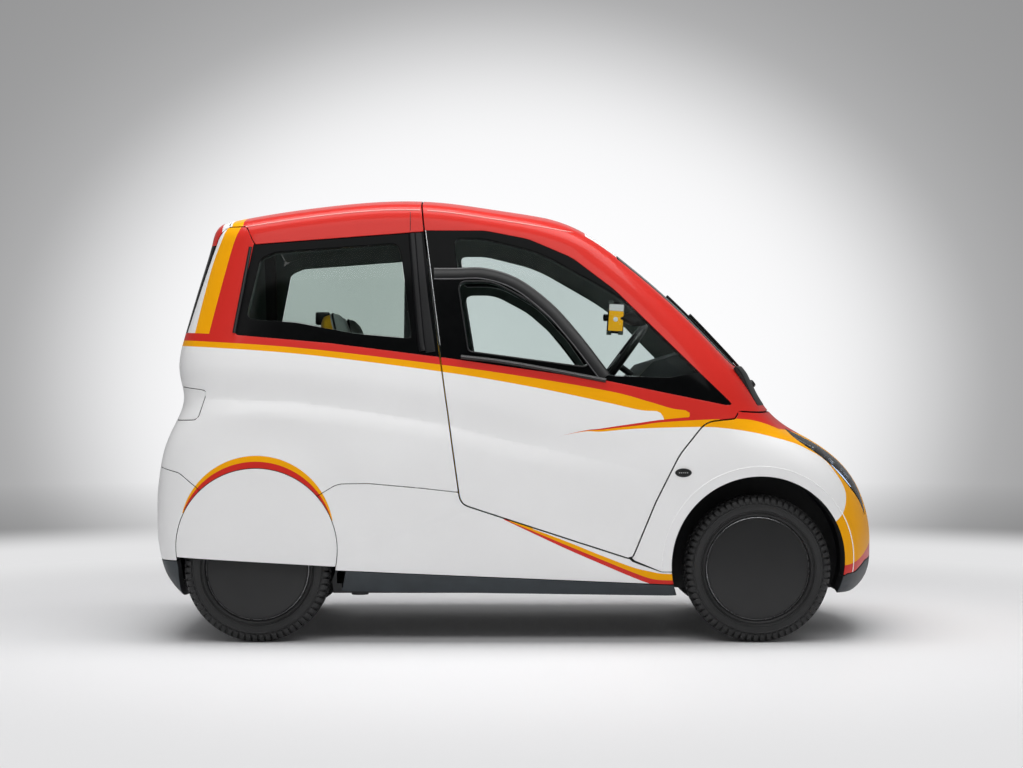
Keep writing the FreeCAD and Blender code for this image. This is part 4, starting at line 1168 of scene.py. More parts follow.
def quarter_panel():
    ring = side_ring(quarter_outline_shares)
    skin = within(whole_skin, inside_by(ring, half_seam), *fixed, outside(rear_black, seam_gap),
                  outside(side_ring(lamp_outline_shares), half_seam))
    lines = [belt_top, belt_middle, belt_low, photo_line(pillar_white_px), photo_line(pillar_yellow_px),
             arc_field(arc_outer_px), arc_field(arc_middle_px)]

    def choose(top, middle, low, white, yellow, arc_a, arc_b):
        colour = np.full(len(top), WHITE)
        colour[low > 0] = YELLOW
        colour[middle > 0] = RED
        colour[(top > 0) & (yellow > 0)] = YELLOW
        colour[(top > 0) & (white > 0)] = WHITE
        return arcs(arc_a, arc_b, colour)
    skin, colours = painted(skin, lines, choose)
    pair("quarter_panel", "quarter", skin, colours, "car", "body_white", inner=TRIM)
    surround = within(whole_skin, inside_by(ring, half_seam), *fixed, inside_by(rear_black, 0.0),
                      outside(quarter_window, lip_radius))
    pair("quarter_surround", None, surround, BLACK, "car", "trim_dark", depth=0.02,
         sink=0.0008)
    pane = within(whole_skin, inside_by(quarter_window, seam_gap))
    two_panels("quarter_pane", pane, rear_tint, "car", "glass", "quarter_glass", depth=pane_depth, lip=0.0005,
               sink=pane_sink)


def simple_pair(name, node, shares, slot, lines=(), choose=None, base=WHITE, **options):
    """A fixed panel on each side, cut by the neighbours' openings."""
    skin, colours = fixed_part(shares), base
    if choose:
        skin, colours = painted(skin, lines, choose)
    pair(name, node, skin, colours, "car", slot, **options)


def low_stripes(top, middle, low, arc_a, arc_b):
    """The stripes under the canopy's edge and the ends of the arcs round the wheel cover."""
    colour = np.full(len(top), WHITE)
    colour[(top < 0) & (middle > 0)] = YELLOW
    colour[(middle < 0) & (low > 0)] = RED
    return arcs(arc_a, arc_b, colour)


def arcs(arc_a, arc_b, base=None):
    """The yellow and red arcs over the rear wheel, on a white ground or over colours already chosen."""
    colour = np.full(len(arc_a), WHITE) if base is None else base
    colour[arc_a < 0] = YELLOW
    colour[arc_b < 0] = RED
    return colour


def roof_bands(white, yellow, red):
    """Red tail tip, white band, yellow band and the red roof."""
    colour = np.full(len(white), RED)
    colour[(white > 0) & (yellow < 0)] = WHITE
    colour[(yellow > 0) & (red < 0)] = YELLOW
    return colour


def fixed_panels():
    arc_lines = [arc_field(arc_outer_px), arc_field(arc_middle_px)]
    stripe_lines = [photo_line(p) for p in low_stripes_px]
    simple_pair("rocker_panel", "rocker", rocker_outline_shares, "body_white", stripe_lines + arc_lines,
                low_stripes)
    simple_pair("sill_panel", "sill", sill_outline_shares, "trim_dark", base=GREY)
    skin = within(whole_skin, inside_by(spat_circle, half_seam),
                  inside_by(side_ring(spat_outline_shares), lip_radius))
    pair("spat_panel", "spat", skin, WHITE, "car", "body_white", depth=0.014)
    skin, colours = painted(fixed_part(bumper_outline_shares), arc_lines, arcs)
    central("bumper_panel", ["rear_bumper"], skin, colours, "car", "body_white")
    skin = fixed_part(valance_outline_shares)
    central("valance_panel", ["rear_valance"], skin, GREY, "car", "trim_dark")
    bands = [plane_field(0, x) for x in (roof_white_x, roof_yellow_x, roof_red_x)]
    above = both_fields(outside(side_ring(quarter_outline_shares), half_seam),
                        plane_field(2, 0.85 * car_height, -1))
    skin, colours = painted(within(whole_skin, above, *fixed), bands, roof_bands)
    central("roof_panel", ["rear_roof"], skin, colours, "car", "body_red", inner=TRIM)
    skin = fixed_part(lip_outline_shares)
    central("lip_panel", ["front_lip"], skin, GREY, "car", "trim_dark")
    cover_skin = fixed_part(lamp_outline_shares)
    pair("tail_cover", "tail_lamp", cover_skin, WHITE, "car", "body_white")


def clam_panel():
    """Nose and front wings: red scuttle, yellow nose, white wings and low stripes."""
    lamp = plan_ring(headlamp_shares)
    skin = within(whole_skin, inside_by(side_ring(clam_outline_shares), half_seam), *fixed,
                  outside(both_fields(lamp, plane_field(2, 0.25 * car_height, -1)), half_seam))
    scuttle = any_field(spear_middle, outside(plan_ring(scuttle_red_shares)))
    lines = [scuttle, spear_low, front_ring(nose_red_shares)]
    lines += [photo_line(p) for p in low_stripes_px]
    lines.append(plane_field(0, front_axle_x))

    def choose(scuttle, low, nose, stripe_a, stripe_b, stripe_c, behind):
        colour = np.full(len(scuttle), WHITE)
        colour[low > 0] = YELLOW
        colour[scuttle > 0] = RED
        colour[(nose < 0) & (behind > ahead_of_wheel)] = RED
        colour[(behind < 0) & (stripe_a < 0) & (stripe_b > 0)] = YELLOW
        colour[(behind < 0) & (stripe_b < 0) & (stripe_c > 0)] = RED
        return colour
    skin, colours = painted(skin, lines, choose)
    central("clam_panel", ["front_clam"], skin, colours, "car", "body_white")


def screen_pane():
    """The windscreen, with its black printed border."""
    ring = windscreen_ring
    skin = within(whole_skin, inside_by(ring, half_seam))
    skin, colours = painted(skin, [inside_by(ring, screen_border)], lambda edge: np.where(edge > 0, 1, 0))
    piece = panel("windscreen_pane", both_sides(skin), list(colours) * 2, [glass, black_gloss],
                  depth=pane_depth, lip=0.001)
    finish_piece(piece, "canopy", "glass", ["windscreen"])


def hatch_panels():
    """The rear hatch with its stripes, black surround and window."""
    window = both_fields(front_ring(rear_glass_shares), plane_field(0, 0.0))
    surround = inside_by(window, -rear_border)
    block = inside_by(tailgate_ring, half_shut)
    lamp = both_fields(ring_field(rounded(hatch_lamp_corners), axes=(1, 2)), plane_field(0, 0.0))
    skin = within(whole_skin, block, outside(surround, seam_gap), outside(lamp, half_seam))
    bands = [plane_field(0, x) for x in (roof_white_x, roof_yellow_x)]

    def choose(top, middle, low, tip, white, high):
        colour = np.full(len(top), WHITE)
        colour[(low > 0) & (top < 0)] = YELLOW
        colour[(middle > 0) & (top < 0)] = RED
        colour[(top > 0) & (high < 0)] = BLACK
        colour[high > 0] = RED
        colour[(high > 0) & (tip > 0) & (white < 0)] = WHITE
        colour[(high > 0) & (white > 0)] = YELLOW
        return colour
    skin, colours = painted(skin, [belt_top, belt_middle, belt_low] + bands
                            + [plane_field(2, hatch_black_top_z)], choose)
    central("hatch_panel", ["tailgate"], skin, colours, "hatch", "body_white", inner=TRIM)
    lens_skin = within(whole_skin, inside_by(lamp, 0.0))
    pair("hatch_lamp_well", None, lens_skin, BLACK, "hatch", "trim_dark", depth=0.01, sink=0.012)
    two_panels("hatch_lamp_lens", lens_skin, tail_red, "hatch", "lamp", depth=0.003, lip=0.001, sink=-0.001)
    skin = within(whole_skin, block, inside_by(surround, 0.0), outside(window, lip_radius))
    central("hatch_surround", (), skin, BLACK, "hatch", "trim_dark", depth=0.02, sink=0.0008)
    skin = within(whole_skin, inside_by(window, seam_gap))
    piece = panel("hatch_pane", both_sides(skin), 0, [glass], depth=pane_depth, lip=0.0005,
                  sink=pane_sink)
    finish_piece(piece, "hatch", "glass", ["tailgate_glass"])


# Mouldings, trims, wiper and lamps on the body
pillar_strip_px = [(412, 233.5), (416.5, 290), (421, 340), (423, 351)]
arch_bar_px = [
    (434, 275), (455, 275), (484, 275), (515, 285), (546.5, 308.5), (572.5, 337), (598, 370), (604, 378)]
rail_px = [(461, 357), (500, 361.5), (550, 370), (606, 380.5)]
rear_seal_px = [(250.5, 247), (243.5, 284), (236, 322), (234, 333)]
cowl_edge_px = [(728.5, 369.5), (745.5, 405)]
cowl_rise = 0.016
pillar_cover_px = [(416.5, 233), (419.5, 265), (424, 305), (430.5, 352)]
roof_seam_px = [(410.5, 212), (410.3, 222), (410.2, 230.5)]
cowl_half_width = 0.5
repeater_px = (683.5, 472.8)
crease_steps = 60


def beside(line):
    """The body's right side at places in side view."""
    line = np.asarray(line, float)

    def out(half):
        return body_gap(np.stack([line[:, 0], half, line[:, 1]], axis=1)) > 0
    _, far = halved(np.full(len(line), -half_width - 0.02), np.zeros(len(line)), out)
    return np.stack([line[:, 0], far, line[:, 1]], axis=1)


def crease_path(low_x, high_x):
    """The edge between the body's side and its roof."""
    x, level = np.linspace(low_x, high_x, crease_steps), np.zeros(crease_steps)

    def on_roof(y):
        return np.stack([x, y, -roof_value(np.stack([x, y, level], axis=1))], axis=1)
    _, far = halved(level - half_width, level, lambda half: wall_value(on_roof(half)) > 0)
    path = on_surface(on_roof(far), 5)
    return path, outward(path)


def offset_section(section, shift, lift=0.0):
    return [(a + shift, b + lift) for a, b in section]


def mouldings():
    """Strips along the roof edges, pillars, sliding window and its rail."""
    # The strips along the roof edges are pale red: a painted highlight.
    for name, low_x, high_x, body in (("canopy_roof_edge", -0.322, 0.19, "canopy"),
                                      ("rear_roof_edge", -0.96, -0.345, "car")):
        path, up = crease_path(low_x, high_x)
        points, faces = along(path - up * 0.0005, up, half_round(0.008, 0.0022))
        two_sided(name, points, faces, [painted_highlight_red], body, "body_red", sharp=50)
    edge = [((x - 0.5) * car_length + half_shut + 0.001, z * car_height)
            for x, z, _ in canopy_outline_shares[1:3]]
    path = beside(smooth_through(edge, 12)[:-1])
    points, faces = along(path, outward(path), half_round(0.0045, 0.0028))
    two_sided("pillar_bright_edge", points, faces, [bright_trim], "canopy", "trim_dark", sharp=50)
    photo_strip("pillar_seal", pillar_strip_px, half_round(0.026, 0.006), pillar_satin, "car")
    photo_strip("pillar_cover", pillar_cover_px, half_round(0.034, 0.0012), pillar_satin, "car")
    photo_strip("roof_seam", roof_seam_px, half_round(0.0022, 0.0006), seal_and_shade_black, "car")
    photo_strip("rear_window_seal", rear_seal_px, half_round(0.012, 0.004), satin_black, "car")
    photo_strip("arch_bar", arch_bar_px, offset_section(half_round(0.044, 0.006), 0.004), satin_black,
                "canopy")
    # Light grey lines along the arch bar's edges: painted highlights.
    for name, shift in (("arch_bar_lower_edge", -0.0145), ("arch_bar_upper_edge", 0.0145)):
        photo_strip(name, arch_bar_px, offset_section(half_round(0.0035, 0.003), shift, 0.002), painted_highlight_grey,
                    "canopy")
    photo_strip("window_rail", rail_px, half_round(0.016, 0.009), satin_black, "canopy")
    # A light grey line on the rail's top: a painted highlight.
    photo_strip("window_rail_edge", rail_px, offset_section(half_round(0.003, 0.003), 0.0, 0.0085),
                painted_highlight_grey, "canopy")
    path = beside(side_corners(slide_window_shares))
    points, faces = along(path, outward(path), half_round(0.006, 0.004), closed=True)
    two_sided("slide_frame", points, faces, [satin_black], "canopy", "trim_dark", sharp=50)


def arch_beads():
    """The fine raised line round each front wheel arch, whiter than the paint: a painted highlight."""
    turn = np.linspace(math.radians(-6), math.radians(184), 90)
    reach = front_arch_radius + arch_lip_width
    line = np.stack([front_arch_x + reach * np.cos(turn),
                     tyre_radius + front_arch_rise + reach * np.sin(turn)], axis=1)
    path = beside(line)
    points, faces = along(path, outward(path), half_round(0.0042, 0.0014))
    two_sided("arch_bead", points, faces, [painted_highlight_white], "car", "body_white", sharp=50)


def beveled_box(name, low, high, radius, material, body, slot, lean=0.0):
    """A box with rounded edges, leaned about Y round its middle."""
    middle = (Vector(low) + Vector(high)) / 2
    size = Vector(high) - Vector(low)
    form = bmesh.new()
    bmesh.ops.create_cube(form, size=1.0)
    bmesh.ops.scale(form, vec=size, verts=form.verts)
    bmesh.ops.bevel(form, geom=form.edges[:], offset=radius, segments=3, affect="EDGES", profile=0.5)
    bmesh.ops.rotate(form, cent=(0, 0, 0), matrix=Matrix.Rotation(lean, 3, "Y"), verts=form.verts)
    bmesh.ops.translate(form, vec=middle, verts=form.verts)
    points = [tuple(v.co) for v in form.verts]
    faces = [tuple(v.index for v in f.verts) for f in form.faces]
    form.free()
    piece = crisp(shell_of(name, points, faces, [material]), 40)
    finish_piece(piece, body, slot)
    return piece


# The phone by the mirror: its middle and lean, then boxes with two corners from that middle and a radius
phone_at = np.array((0.348, -0.25, 1.1276))
phone_lean = math.radians(4)
phone_boxes = (
    ("phone_body", (-0.03, -0.0045, -0.057), (0.03, 0.0045, 0.057), 0.004, satin_black),
    ("phone_screen", (-0.026, -0.0056, -0.048), (0.026, -0.004, 0.024), 0.0006, screen_yellow),
    ("phone_screen_top", (-0.0235, -0.0056, 0.0245), (0.0285, -0.004, 0.048), 0.0006, screen_white),
    ("phone_cradle", (-0.024, 0.0045, -0.04), (0.024, 0.018, 0.04), 0.005, satin_black))
phone_clips = (("phone_clip_top", 0.055, 0.012), ("phone_clip_low", -0.055, 0.014))
clip_across, clip_half, clip_front, clip_back, clip_radius = 0.021, 0.009, -0.009, 0.012, 0.003
phone_button_profile = [(0.0, 0.0008), (0.0075, 0.0008), (0.0085, 0.0), (0.0085, -0.001), (0.0, -0.001)]
phone_button_place = phone_at + (-0.001, -0.0058, -0.006)
phone_knob_profile = [
    (0.0, -0.046), (0.01, -0.045), (0.013, -0.04), (0.012, -0.028), (0.008, -0.024), (0.0, -0.024)]
phone_knob_place = phone_at + (0, 0.006, 0)
mirror_pod_profile = [
    (0.0, -0.062), (0.008, -0.061), (0.01, -0.05), (0.018, -0.04), (0.026, -0.024), (0.029, -0.004),
    (0.028, 0.012), (0.023, 0.03), (0.014, 0.046), (0.006, 0.055), (0.0, 0.056)]
mirror_pod_place = np.array((0.4263, phone_at[1], 1.1247))
mirror_pod_depth = 0.8
mirror_stalk_route = [(0.455, 0.0, 1.125), (0.475, -0.02, 1.135), (0.5, -0.06, 1.15), (0.52, -0.12, 1.165)]
phone_arm_route = [(0.352, 0.01, 1.125), (0.366, 0.01, 1.124), (0.385, 0.004, 1.124)]


def rod(name, route, steps, radius, sides):
    """A round rod through places that are given ahead, from the phone's middle across, and up."""
    path = smooth_through([(x, phone_at[1] + y, z) for x, y, z in route], steps)
    form = along(path, np.tile([0, 0, 1.0], (len(path), 1)), round_section(radius, sides))
    fitting(name, form, satin_black)


def phone_holder():
    """A phone on a clip beside the mirror's pod, with a plain screen."""
    for name, low, high, radius, material in phone_boxes:
        beveled_box(name, phone_at + low, phone_at + high, radius, material, "canopy", "cabin_plastic",
                    phone_lean)
    for name, rise, height in phone_clips:
        for side, label in ((-1, "_a"), (1, "_b")):
            middle = phone_at + (rise * math.tan(phone_lean) + side * clip_across, 0, rise)
            beveled_box(name + label, middle + (-clip_half, clip_front, -height / 2),
                        middle + (clip_half, clip_back, height / 2), clip_radius, clip_green, "canopy",
                        "cabin_plastic", phone_lean)
    points, faces = turned(phone_button_profile, 32)
    fitting("phone_button", (points[:, (0, 2, 1)] * [1, -1, 1] + phone_button_place, faces), screen_white)
    points, faces = turned(phone_knob_profile, 24)
    fitting("phone_knob", (points[:, (2, 0, 1)] + phone_knob_place, faces), satin_black)
    points, faces = turned(mirror_pod_profile, 36)
    places = points[:, (2, 0, 1)] * [1, mirror_pod_depth, 1] + mirror_pod_place
    fitting("mirror_pod", (places, faces), pod_black)
    rod("mirror_stalk", mirror_stalk_route, 6, 0.008, 14)
    rod("phone_arm", phone_arm_route, 5, 0.007, 12)


def pad_form(half, power=5.5, cells=12, pinch=0.035):
    """A crowned closed pad whose sides pull in between its corners."""
    form = bmesh.new()
    bmesh.ops.create_cube(form, size=2.0)
    bmesh.ops.subdivide_edges(form, edges=form.edges[:], cuts=cells, use_grid_fill=True)
    points = np.array([v.co[:] for v in form.verts])
    faces = [tuple(v.index for v in f.verts) for f in form.faces]
    form.free()
    points /= ((np.abs(points) ** power).sum(axis=1) ** (1 / power))[:, None]
    pull = 1 - pinch * (1 - points[:, [1, 0]] ** 2)
    points[:, :2] *= pull
    return points * half, faces


def evaluated(piece):
    return bpy.data.meshes.new_from_object(piece.evaluated_get(bpy.context.evaluated_depsgraph_get()))


def swollen(forms):
    """The pads after a short inflation as cloth, each with one subdivision."""
    pieces = []
    for points, faces in forms:
        piece = link_mesh("swelling", points, faces)
        remesh = piece.modifiers.new("remesh", "REMESH")
        remesh.mode = "VOXEL"
        remesh.voxel_size = pad_voxel
        fine = evaluated(piece)
        piece.modifiers.clear()
        piece.data = fine
        pieces.append(piece)
    starts = [np.array([v.co[:] for v in piece.data.vertices]) for piece in pieces]
    for piece in pieces:
        cloth = piece.modifiers.new("cloth", "CLOTH")
        cloth.settings.use_pressure = True
        cloth.settings.uniform_pressure_force = 4.0
        cloth.settings.effector_weights.gravity = 0.0
    for step in range(1, 21):
        bpy.context.scene.frame_set(step)
    results = []
    for piece, start in zip(pieces, starts):
        end = np.array([v.co[:] for v in evaluated(piece).vertices])
        piece.modifiers.clear()
        shift = end - start
        length = np.linalg.norm(shift, axis=1)
        shift *= np.minimum(1.0, pad_swell / np.maximum(length, tiny))[:, None]
        piece.data.vertices.foreach_set("co", (start + shift).ravel())
        finer = piece.modifiers.new("finer", "SUBSURF")
        finer.levels = finer.render_levels = 1
        mesh = evaluated(piece)
        results.append((np.array([v.co[:] for v in mesh.vertices]),
                        [tuple(p.vertices) for p in mesh.polygons]))
        bpy.data.objects.remove(piece)
    bpy.context.scene.frame_set(1)
    return results


def stitched(points, across, lengthwise, depth=0.0045, width=0.006):
    """Sewn channels pressed into a pad's upper side."""
    points = points.copy()
    upper = np.clip(points[:, 2] / 0.02, 0, 1)
    inner = np.clip((lengthwise - np.abs(points[:, 1])) / 0.008, 0, 1)
    sink = np.zeros(len(points))
    for place in across:
        sink = np.maximum(sink, inner * np.exp(-((points[:, 0] - place) / width) ** 2))
    sink = np.maximum(sink, np.exp(-((np.abs(points[:, 1]) - lengthwise) / width) ** 2))
    points[:, 2] -= depth * sink * upper
    return points


def piping(points, faces, height, steps=150):
    """A closed path round a pad at one height, with the directions outwards."""
    tree = BVHTree.FromPolygons([tuple(p) for p in points], faces)
    reach = np.abs(points).max(axis=0)
    path, up = [], []
    for turn in np.arange(steps) * 2 * math.pi / steps:
        out = Vector((math.cos(turn) * reach[0], math.sin(turn) * reach[1], 0))
        start = Vector((out.x * 2, out.y * 2, height))
        spot, normal, _, _ = tree.ray_cast(start, -out.normalized())
        path.append(spot)
        up.append(normal)
    return np.array(path), np.array(up)


def laid(points, middle, lean, upright, side=1):
    """Points of a pad from its own frame to the car's."""
    points = np.asarray(points)
    if upright:
        run, face = (-math.sin(lean), math.cos(lean)), (math.cos(lean), math.sin(lean))
    else:
        run, face = (math.cos(lean), math.sin(lean)), (-math.sin(lean), math.cos(lean))
    x = middle[0] + points[:, 0] * run[0] + points[:, 2] * face[0]
    z = middle[2] + points[:, 0] * run[1] + points[:, 2] * face[1]
    return np.stack([x, side * middle[1] + points[:, 1], z], axis=1)


# Each pad: name, middle, half sizes, lean, whether it stands, cloth, its seams across and along
cushion_seams = (-0.08, 0.03, 0.14)
back_seams = (-0.16, -0.04, 0.08, 0.2)
driver_seam, rear_seam = 0.125, 0.07
pads = (
    ("driver_cushion", driver_cushion_middle, driver_cushion_half, cushion_lean, False, pad_fabric,
     cushion_seams, driver_seam),
    ("driver_back", driver_back_middle, driver_back_half, driver_lean, True, driver_back_fabric, back_seams,
     driver_seam),
    ("rear_cushion", rear_cushion_middle, rear_cushion_half, cushion_lean, False, pad_fabric, cushion_seams,
     rear_seam),
    ("rear_back", rear_back_middle, rear_back_half, rear_lean, True, rear_back_fabric, back_seams, rear_seam))
piping_radius = 0.0038
seat_base_low, seat_base_high = 0.2035, 0.338
rear_base_half, belt_guide_half = 0.095, 0.022


def seats():
    """Padded cushions and backs with piping, on moulded bases."""
    forms = swollen([pad_form(kind[2]) for kind in pads])
    for (name, middle, half, lean, upright, material, across, lengthwise), (points, faces) in zip(pads,
                                                                                                  forms):
        path, up = piping(points, faces, 0.2 * half[2])
        cord, cord_faces = along(path + up * 0.001, up, round_section(piping_radius, 8), closed=True)
        points = stitched(points, across, lengthwise)
        node = "driver_seat" if name.startswith("driver") else "rear_seats"
        for side in ((0,) if node == "driver_seat" else (-1, 1)):
            label = name + {0: "", -1: "_right", 1: "_left"}[side]
            piece = shell_of(label, laid(points, middle, lean, upright, side), faces, [material], None, "car",
                             "seat", [node])
            shell_of(label + "_piping", laid(cord, middle, lean, upright, side), cord_faces, [piping_black],
                     None, "car", "seat", [node])
    beveled_box("driver_seat_base", (-0.2, -0.165, seat_base_low), (0.21, 0.165, seat_base_high), 0.02,
                cabin_dark, "car", "seat")
    for side, label in ((-1, "right"), (1, "left")):
        y = side * rear_back_middle[1]
        beveled_box("rear_seat_base_" + label, (-0.49, y - rear_base_half, seat_base_low),
                    (-0.085, y + rear_base_half, seat_base_high), 0.02, cabin_dark, "car", "seat")
        beveled_box("belt_guide_" + label, (-0.722, y - belt_guide_half, 1.098),
                    (-0.672, y + belt_guide_half, 1.143), 0.006, satin_black, "car", "cabin_plastic")


def inner_trims():
    """Trim inside the canopy's roof and doors, and round the rear side windows."""
    trim = within(whole_skin, plane_field(2, 0.6 * car_height, -1), inside_by(canopy_ring, 0.02),
                  outside(upper_window, 0.003), outside(slide_window, 0.003), outside(windscreen_ring, 0.012))
    two_panels("canopy_inner_trim", trim, trim_green, "canopy", "cabin_plastic", depth=0.007, sink=0.0265)
    frame_ring = inside_by(quarter_window, -0.045)
    skin = within(whole_skin, frame_ring, outside(quarter_window, 0.003))
    two_panels("quarter_inner_trim", skin, trim_green, "car", "cabin_plastic", depth=0.006, sink=0.0265)


# The wiper on the glass: its arm, link and blade run through these places near the surface
wiper_arm_route = np.array([(0.86, -0.06, 0.89), (0.815, -0.07, 0.955), (0.74, -0.1, 1.05),
                            (0.64, -0.13, 1.16)])
wiper_link_shift = (0, 0.045, 0)
wiper_blade_route = [
    (0.8, -0.015, 0.975), (0.725, -0.06, 1.067), (0.65, -0.105, 1.15), (0.565, -0.15, 1.24)]
wiper_blade_section = [
    (-0.001, -0.0035), (0.001, -0.0035), (0.0035, 0.006), (0.0045, 0.009), (0.0015, 0.013),
    (-0.0015, 0.013), (-0.0045, 0.009), (-0.0035, 0.006)]
wiper_pivot_profile = [
    (0.0, 0.026), (0.01, 0.026), (0.014, 0.022), (0.016, 0.004), (0.016, -0.002), (0.0, -0.002)]
wiper_arm_widths = (0.011, 0.006)
wiper_arm_lifts = (0.014, 0.02)
wiper_link_lift, wiper_blade_lift = 0.011, 0.004


def cowl():
    """The black cover under the windscreen, swollen towards its upper edge."""
    (top_x, _, top_z), (low_x, _, low_z) = seen(cowl_edge_px)
    ring = ring_field(rounded([(top_x, top_z, 0.012), (half_length, top_z, 0), (half_length, low_z, 0),
                               (low_x, low_z, 0.006)]))
    skin = within(whole_skin, ring, plane_field(1, -cowl_half_width, -1))
    piece = panel("wiper_cowl", both_sides(skin), 0, [satin_black], depth=0.0135, lip=0.004, sink=-0.0015)
    places = np.array([v.co[:] for v in piece.data.vertices])
    share = np.clip((places[:, 2] - low_z) / (top_z - low_z), 0, 1)
    front = np.clip((places[:, 2] - low_z) * 8 + 0.2, 0, 1)
    places += outward(places) * (cowl_rise * share ** 2 * (3 - 2 * share) * front)[:, None]
    piece.data.vertices.foreach_set("co", places.ravel())
    piece.data.update()
    finish_piece(piece, "canopy", "trim_dark")


def wiper():
    """The wiper that lies on the glass, with its link and pivot."""
    path = on_surface(smooth_through(wiper_arm_route, 8), 6)
    up = outward(path)
    lift = np.linspace(*wiper_arm_lifts, len(path))[:, None]
    sections = [[(-w, 0.0), (-w * 0.6, 0.005), (w * 0.6, 0.005), (w, 0.0), (w * 0.7, -0.004),
                 (-w * 0.7, -0.004)]
                for w in np.linspace(*wiper_arm_widths, len(path))]
    fitting("wiper_arm", along(path + up * lift, up, sections), satin_black, "trim_dark", 30)
    path = on_surface(smooth_through(wiper_arm_route + wiper_link_shift, 8), 6)
    up = outward(path)
    form = along(path + up * wiper_link_lift, up, round_section(0.0035))
    fitting("wiper_link", form, satin_black, "trim_dark", 50)
    path = on_surface(smooth_through(wiper_blade_route, 10), 6)
    up = outward(path)
    form = along(path + up * wiper_blade_lift, up, wiper_blade_section)
    fitting("wiper_blade", form, seal_and_shade_black, "trim_dark", 30)
    points, faces = turned(wiper_pivot_profile, 32)
    base = on_surface(np.array([wiper_arm_route[0]]), 6)
    turn = Vector(outward(base)[0]).to_track_quat("Z", "Y").to_matrix()
    points = np.array([turn @ Vector(q) for q in points]) + base[0]
    fitting("wiper_pivot", (points, faces), satin_black, "trim_dark", 30)


def placed(points, at, out):
    """Points made about Z, turned so that Z points outward at a place and X runs ahead."""
    out = np.array(out) / np.linalg.norm(out)
    ahead = np.array([1.0, 0, 0]) - out * out[0]
    ahead /= np.linalg.norm(ahead)
    side = np.cross(out, ahead)
    return at + np.asarray(points) @ np.array([ahead, side, out])


def repeaters():
    """The oval side repeater on each wing, with a row of small lights."""
    at = seen([repeater_px])
    out = outward(at)[0]
    rim = [(0.0, 0.0015), (0.7, 0.0015), (0.8, 0.0035), (0.93, 0.0035), (1.0, 0.0), (1.0, -0.004),
           (0.0, -0.004)]
    points, faces = turned([(r * 0.0285, h) for r, h in rim], 48)
    points = placed(points * [1, 0.53, 1], at[0], out)
    two_sided("repeater_body", points, faces, [satin_black], "car", "lamp", sharp=30)
    for i in range(5):
        points, faces = turned([(0.0, 0.0026), (0.0012, 0.0024), (0.0019, 0.0015), (0.0019, 0.0),
                                (0.0, 0.0)], 12)
        points = placed(points + [(i - 2) * 0.0068, 0, 0.0008], at[0], out)
        two_sided("repeater_light_%d" % i, points, faces, [pale_light], "car", "lamp", sharp=30)


# Right headlamp: each bowl's place ahead and across and its radius, and the light strip's places
lamp_bowls = ((1.02, -0.445, 0.028), (1.095, -0.41, 0.031), (1.163, -0.345, 0.026))
lamp_bowl_profile = [
    (0.0, -0.02), (0.55, -0.018), (0.8, -0.01), (0.92, 0.0), (1.0, 0.0), (1.0, -0.003), (0.9, -0.024),
    (0.0, -0.026)]
lamp_wall_section = [(-0.0012, -0.0145), (0.0012, -0.0145), (0.0012, 0.013), (-0.0012, 0.013)]
lamp_strip_route = [(1.0, -0.512, 0), (1.1, -0.488, 0.03), (1.165, -0.44, 0.03), (1.212, -0.35, 0)]


def headlamps():
    """Dark wells with projector lamps and a light strip, under smoked lenses."""
    lamp = both_fields(plan_ring(headlamp_shares), plane_field(2, 0.25 * car_height, -1))
    skin = within(whole_skin, inside_by(lamp, seam_gap))
    two_panels("headlamp_lens", skin, smoked_lens, "car", "lamp", "headlamp", depth=0.003, lip=0.001)
    two_panels("headlamp_well", skin, satin_black, "car", "lamp", "headlamp", depth=0.004, lip=0.001,
               sink=0.03)
    loop = {a: b for a, b, _ in rim_of(skin[1])}
    order = [next(iter(loop))]
    while loop[order[-1]] != order[0]:
        order.append(loop[order[-1]])
    path = on_surface(skin[0][order])
    up = outward(path)
    points, faces = along(path - up * 0.017, up, lamp_wall_section, closed=True)
    two_sided("headlamp_wall", points, faces, [black_gloss], "car", "lamp", sharp=40, node="headlamp")
    for i, (x, y, radius) in enumerate(lamp_bowls):
        at = on_surface(beneath(x, y))
        out = outward(at)[0]
        at = at[0] - out * 0.006
        points, faces = turned([(r * radius, h) for r, h in lamp_bowl_profile], 40)
        two_sided("lamp_bowl_%d" % i, placed(points, at, out), faces, [bright_trim], "car", "lamp", sharp=30)
        dome = [(0.62 * math.sin(t), 0.62 * math.cos(t) * 0.7) for t in np.linspace(0, math.pi / 2, 8)]
        dome += [(0.62, -0.1), (0.0, -0.1)]
        points, faces = turned([(r * radius, h * radius - 0.02) for r, h in dome], 32)
        two_sided("lamp_projector_%d" % i, placed(points, at, out), faces, [lens], "car", "lamp")
    route = smooth_through(rounded(lamp_strip_route)[1:-1], 3)
    spots = np.vstack([on_surface(beneath(x, y)) for x, y in route])
    up = outward(spots)
    points, faces = along(spots - up * 0.007, up, half_round(0.007, 0.003))
    two_sided("lamp_light_strip", points, faces, [lamp_glow], "car", "lamp", sharp=40)


def beneath(x, y):
    """The place on the nose at a place in plan."""
    low, _ = halved(0.3 * car_height, 0.7 * car_height, lambda z: body_gap(np.array([[x, y, z]]))[0] <= 0)
    return np.array([[x, y, low]])


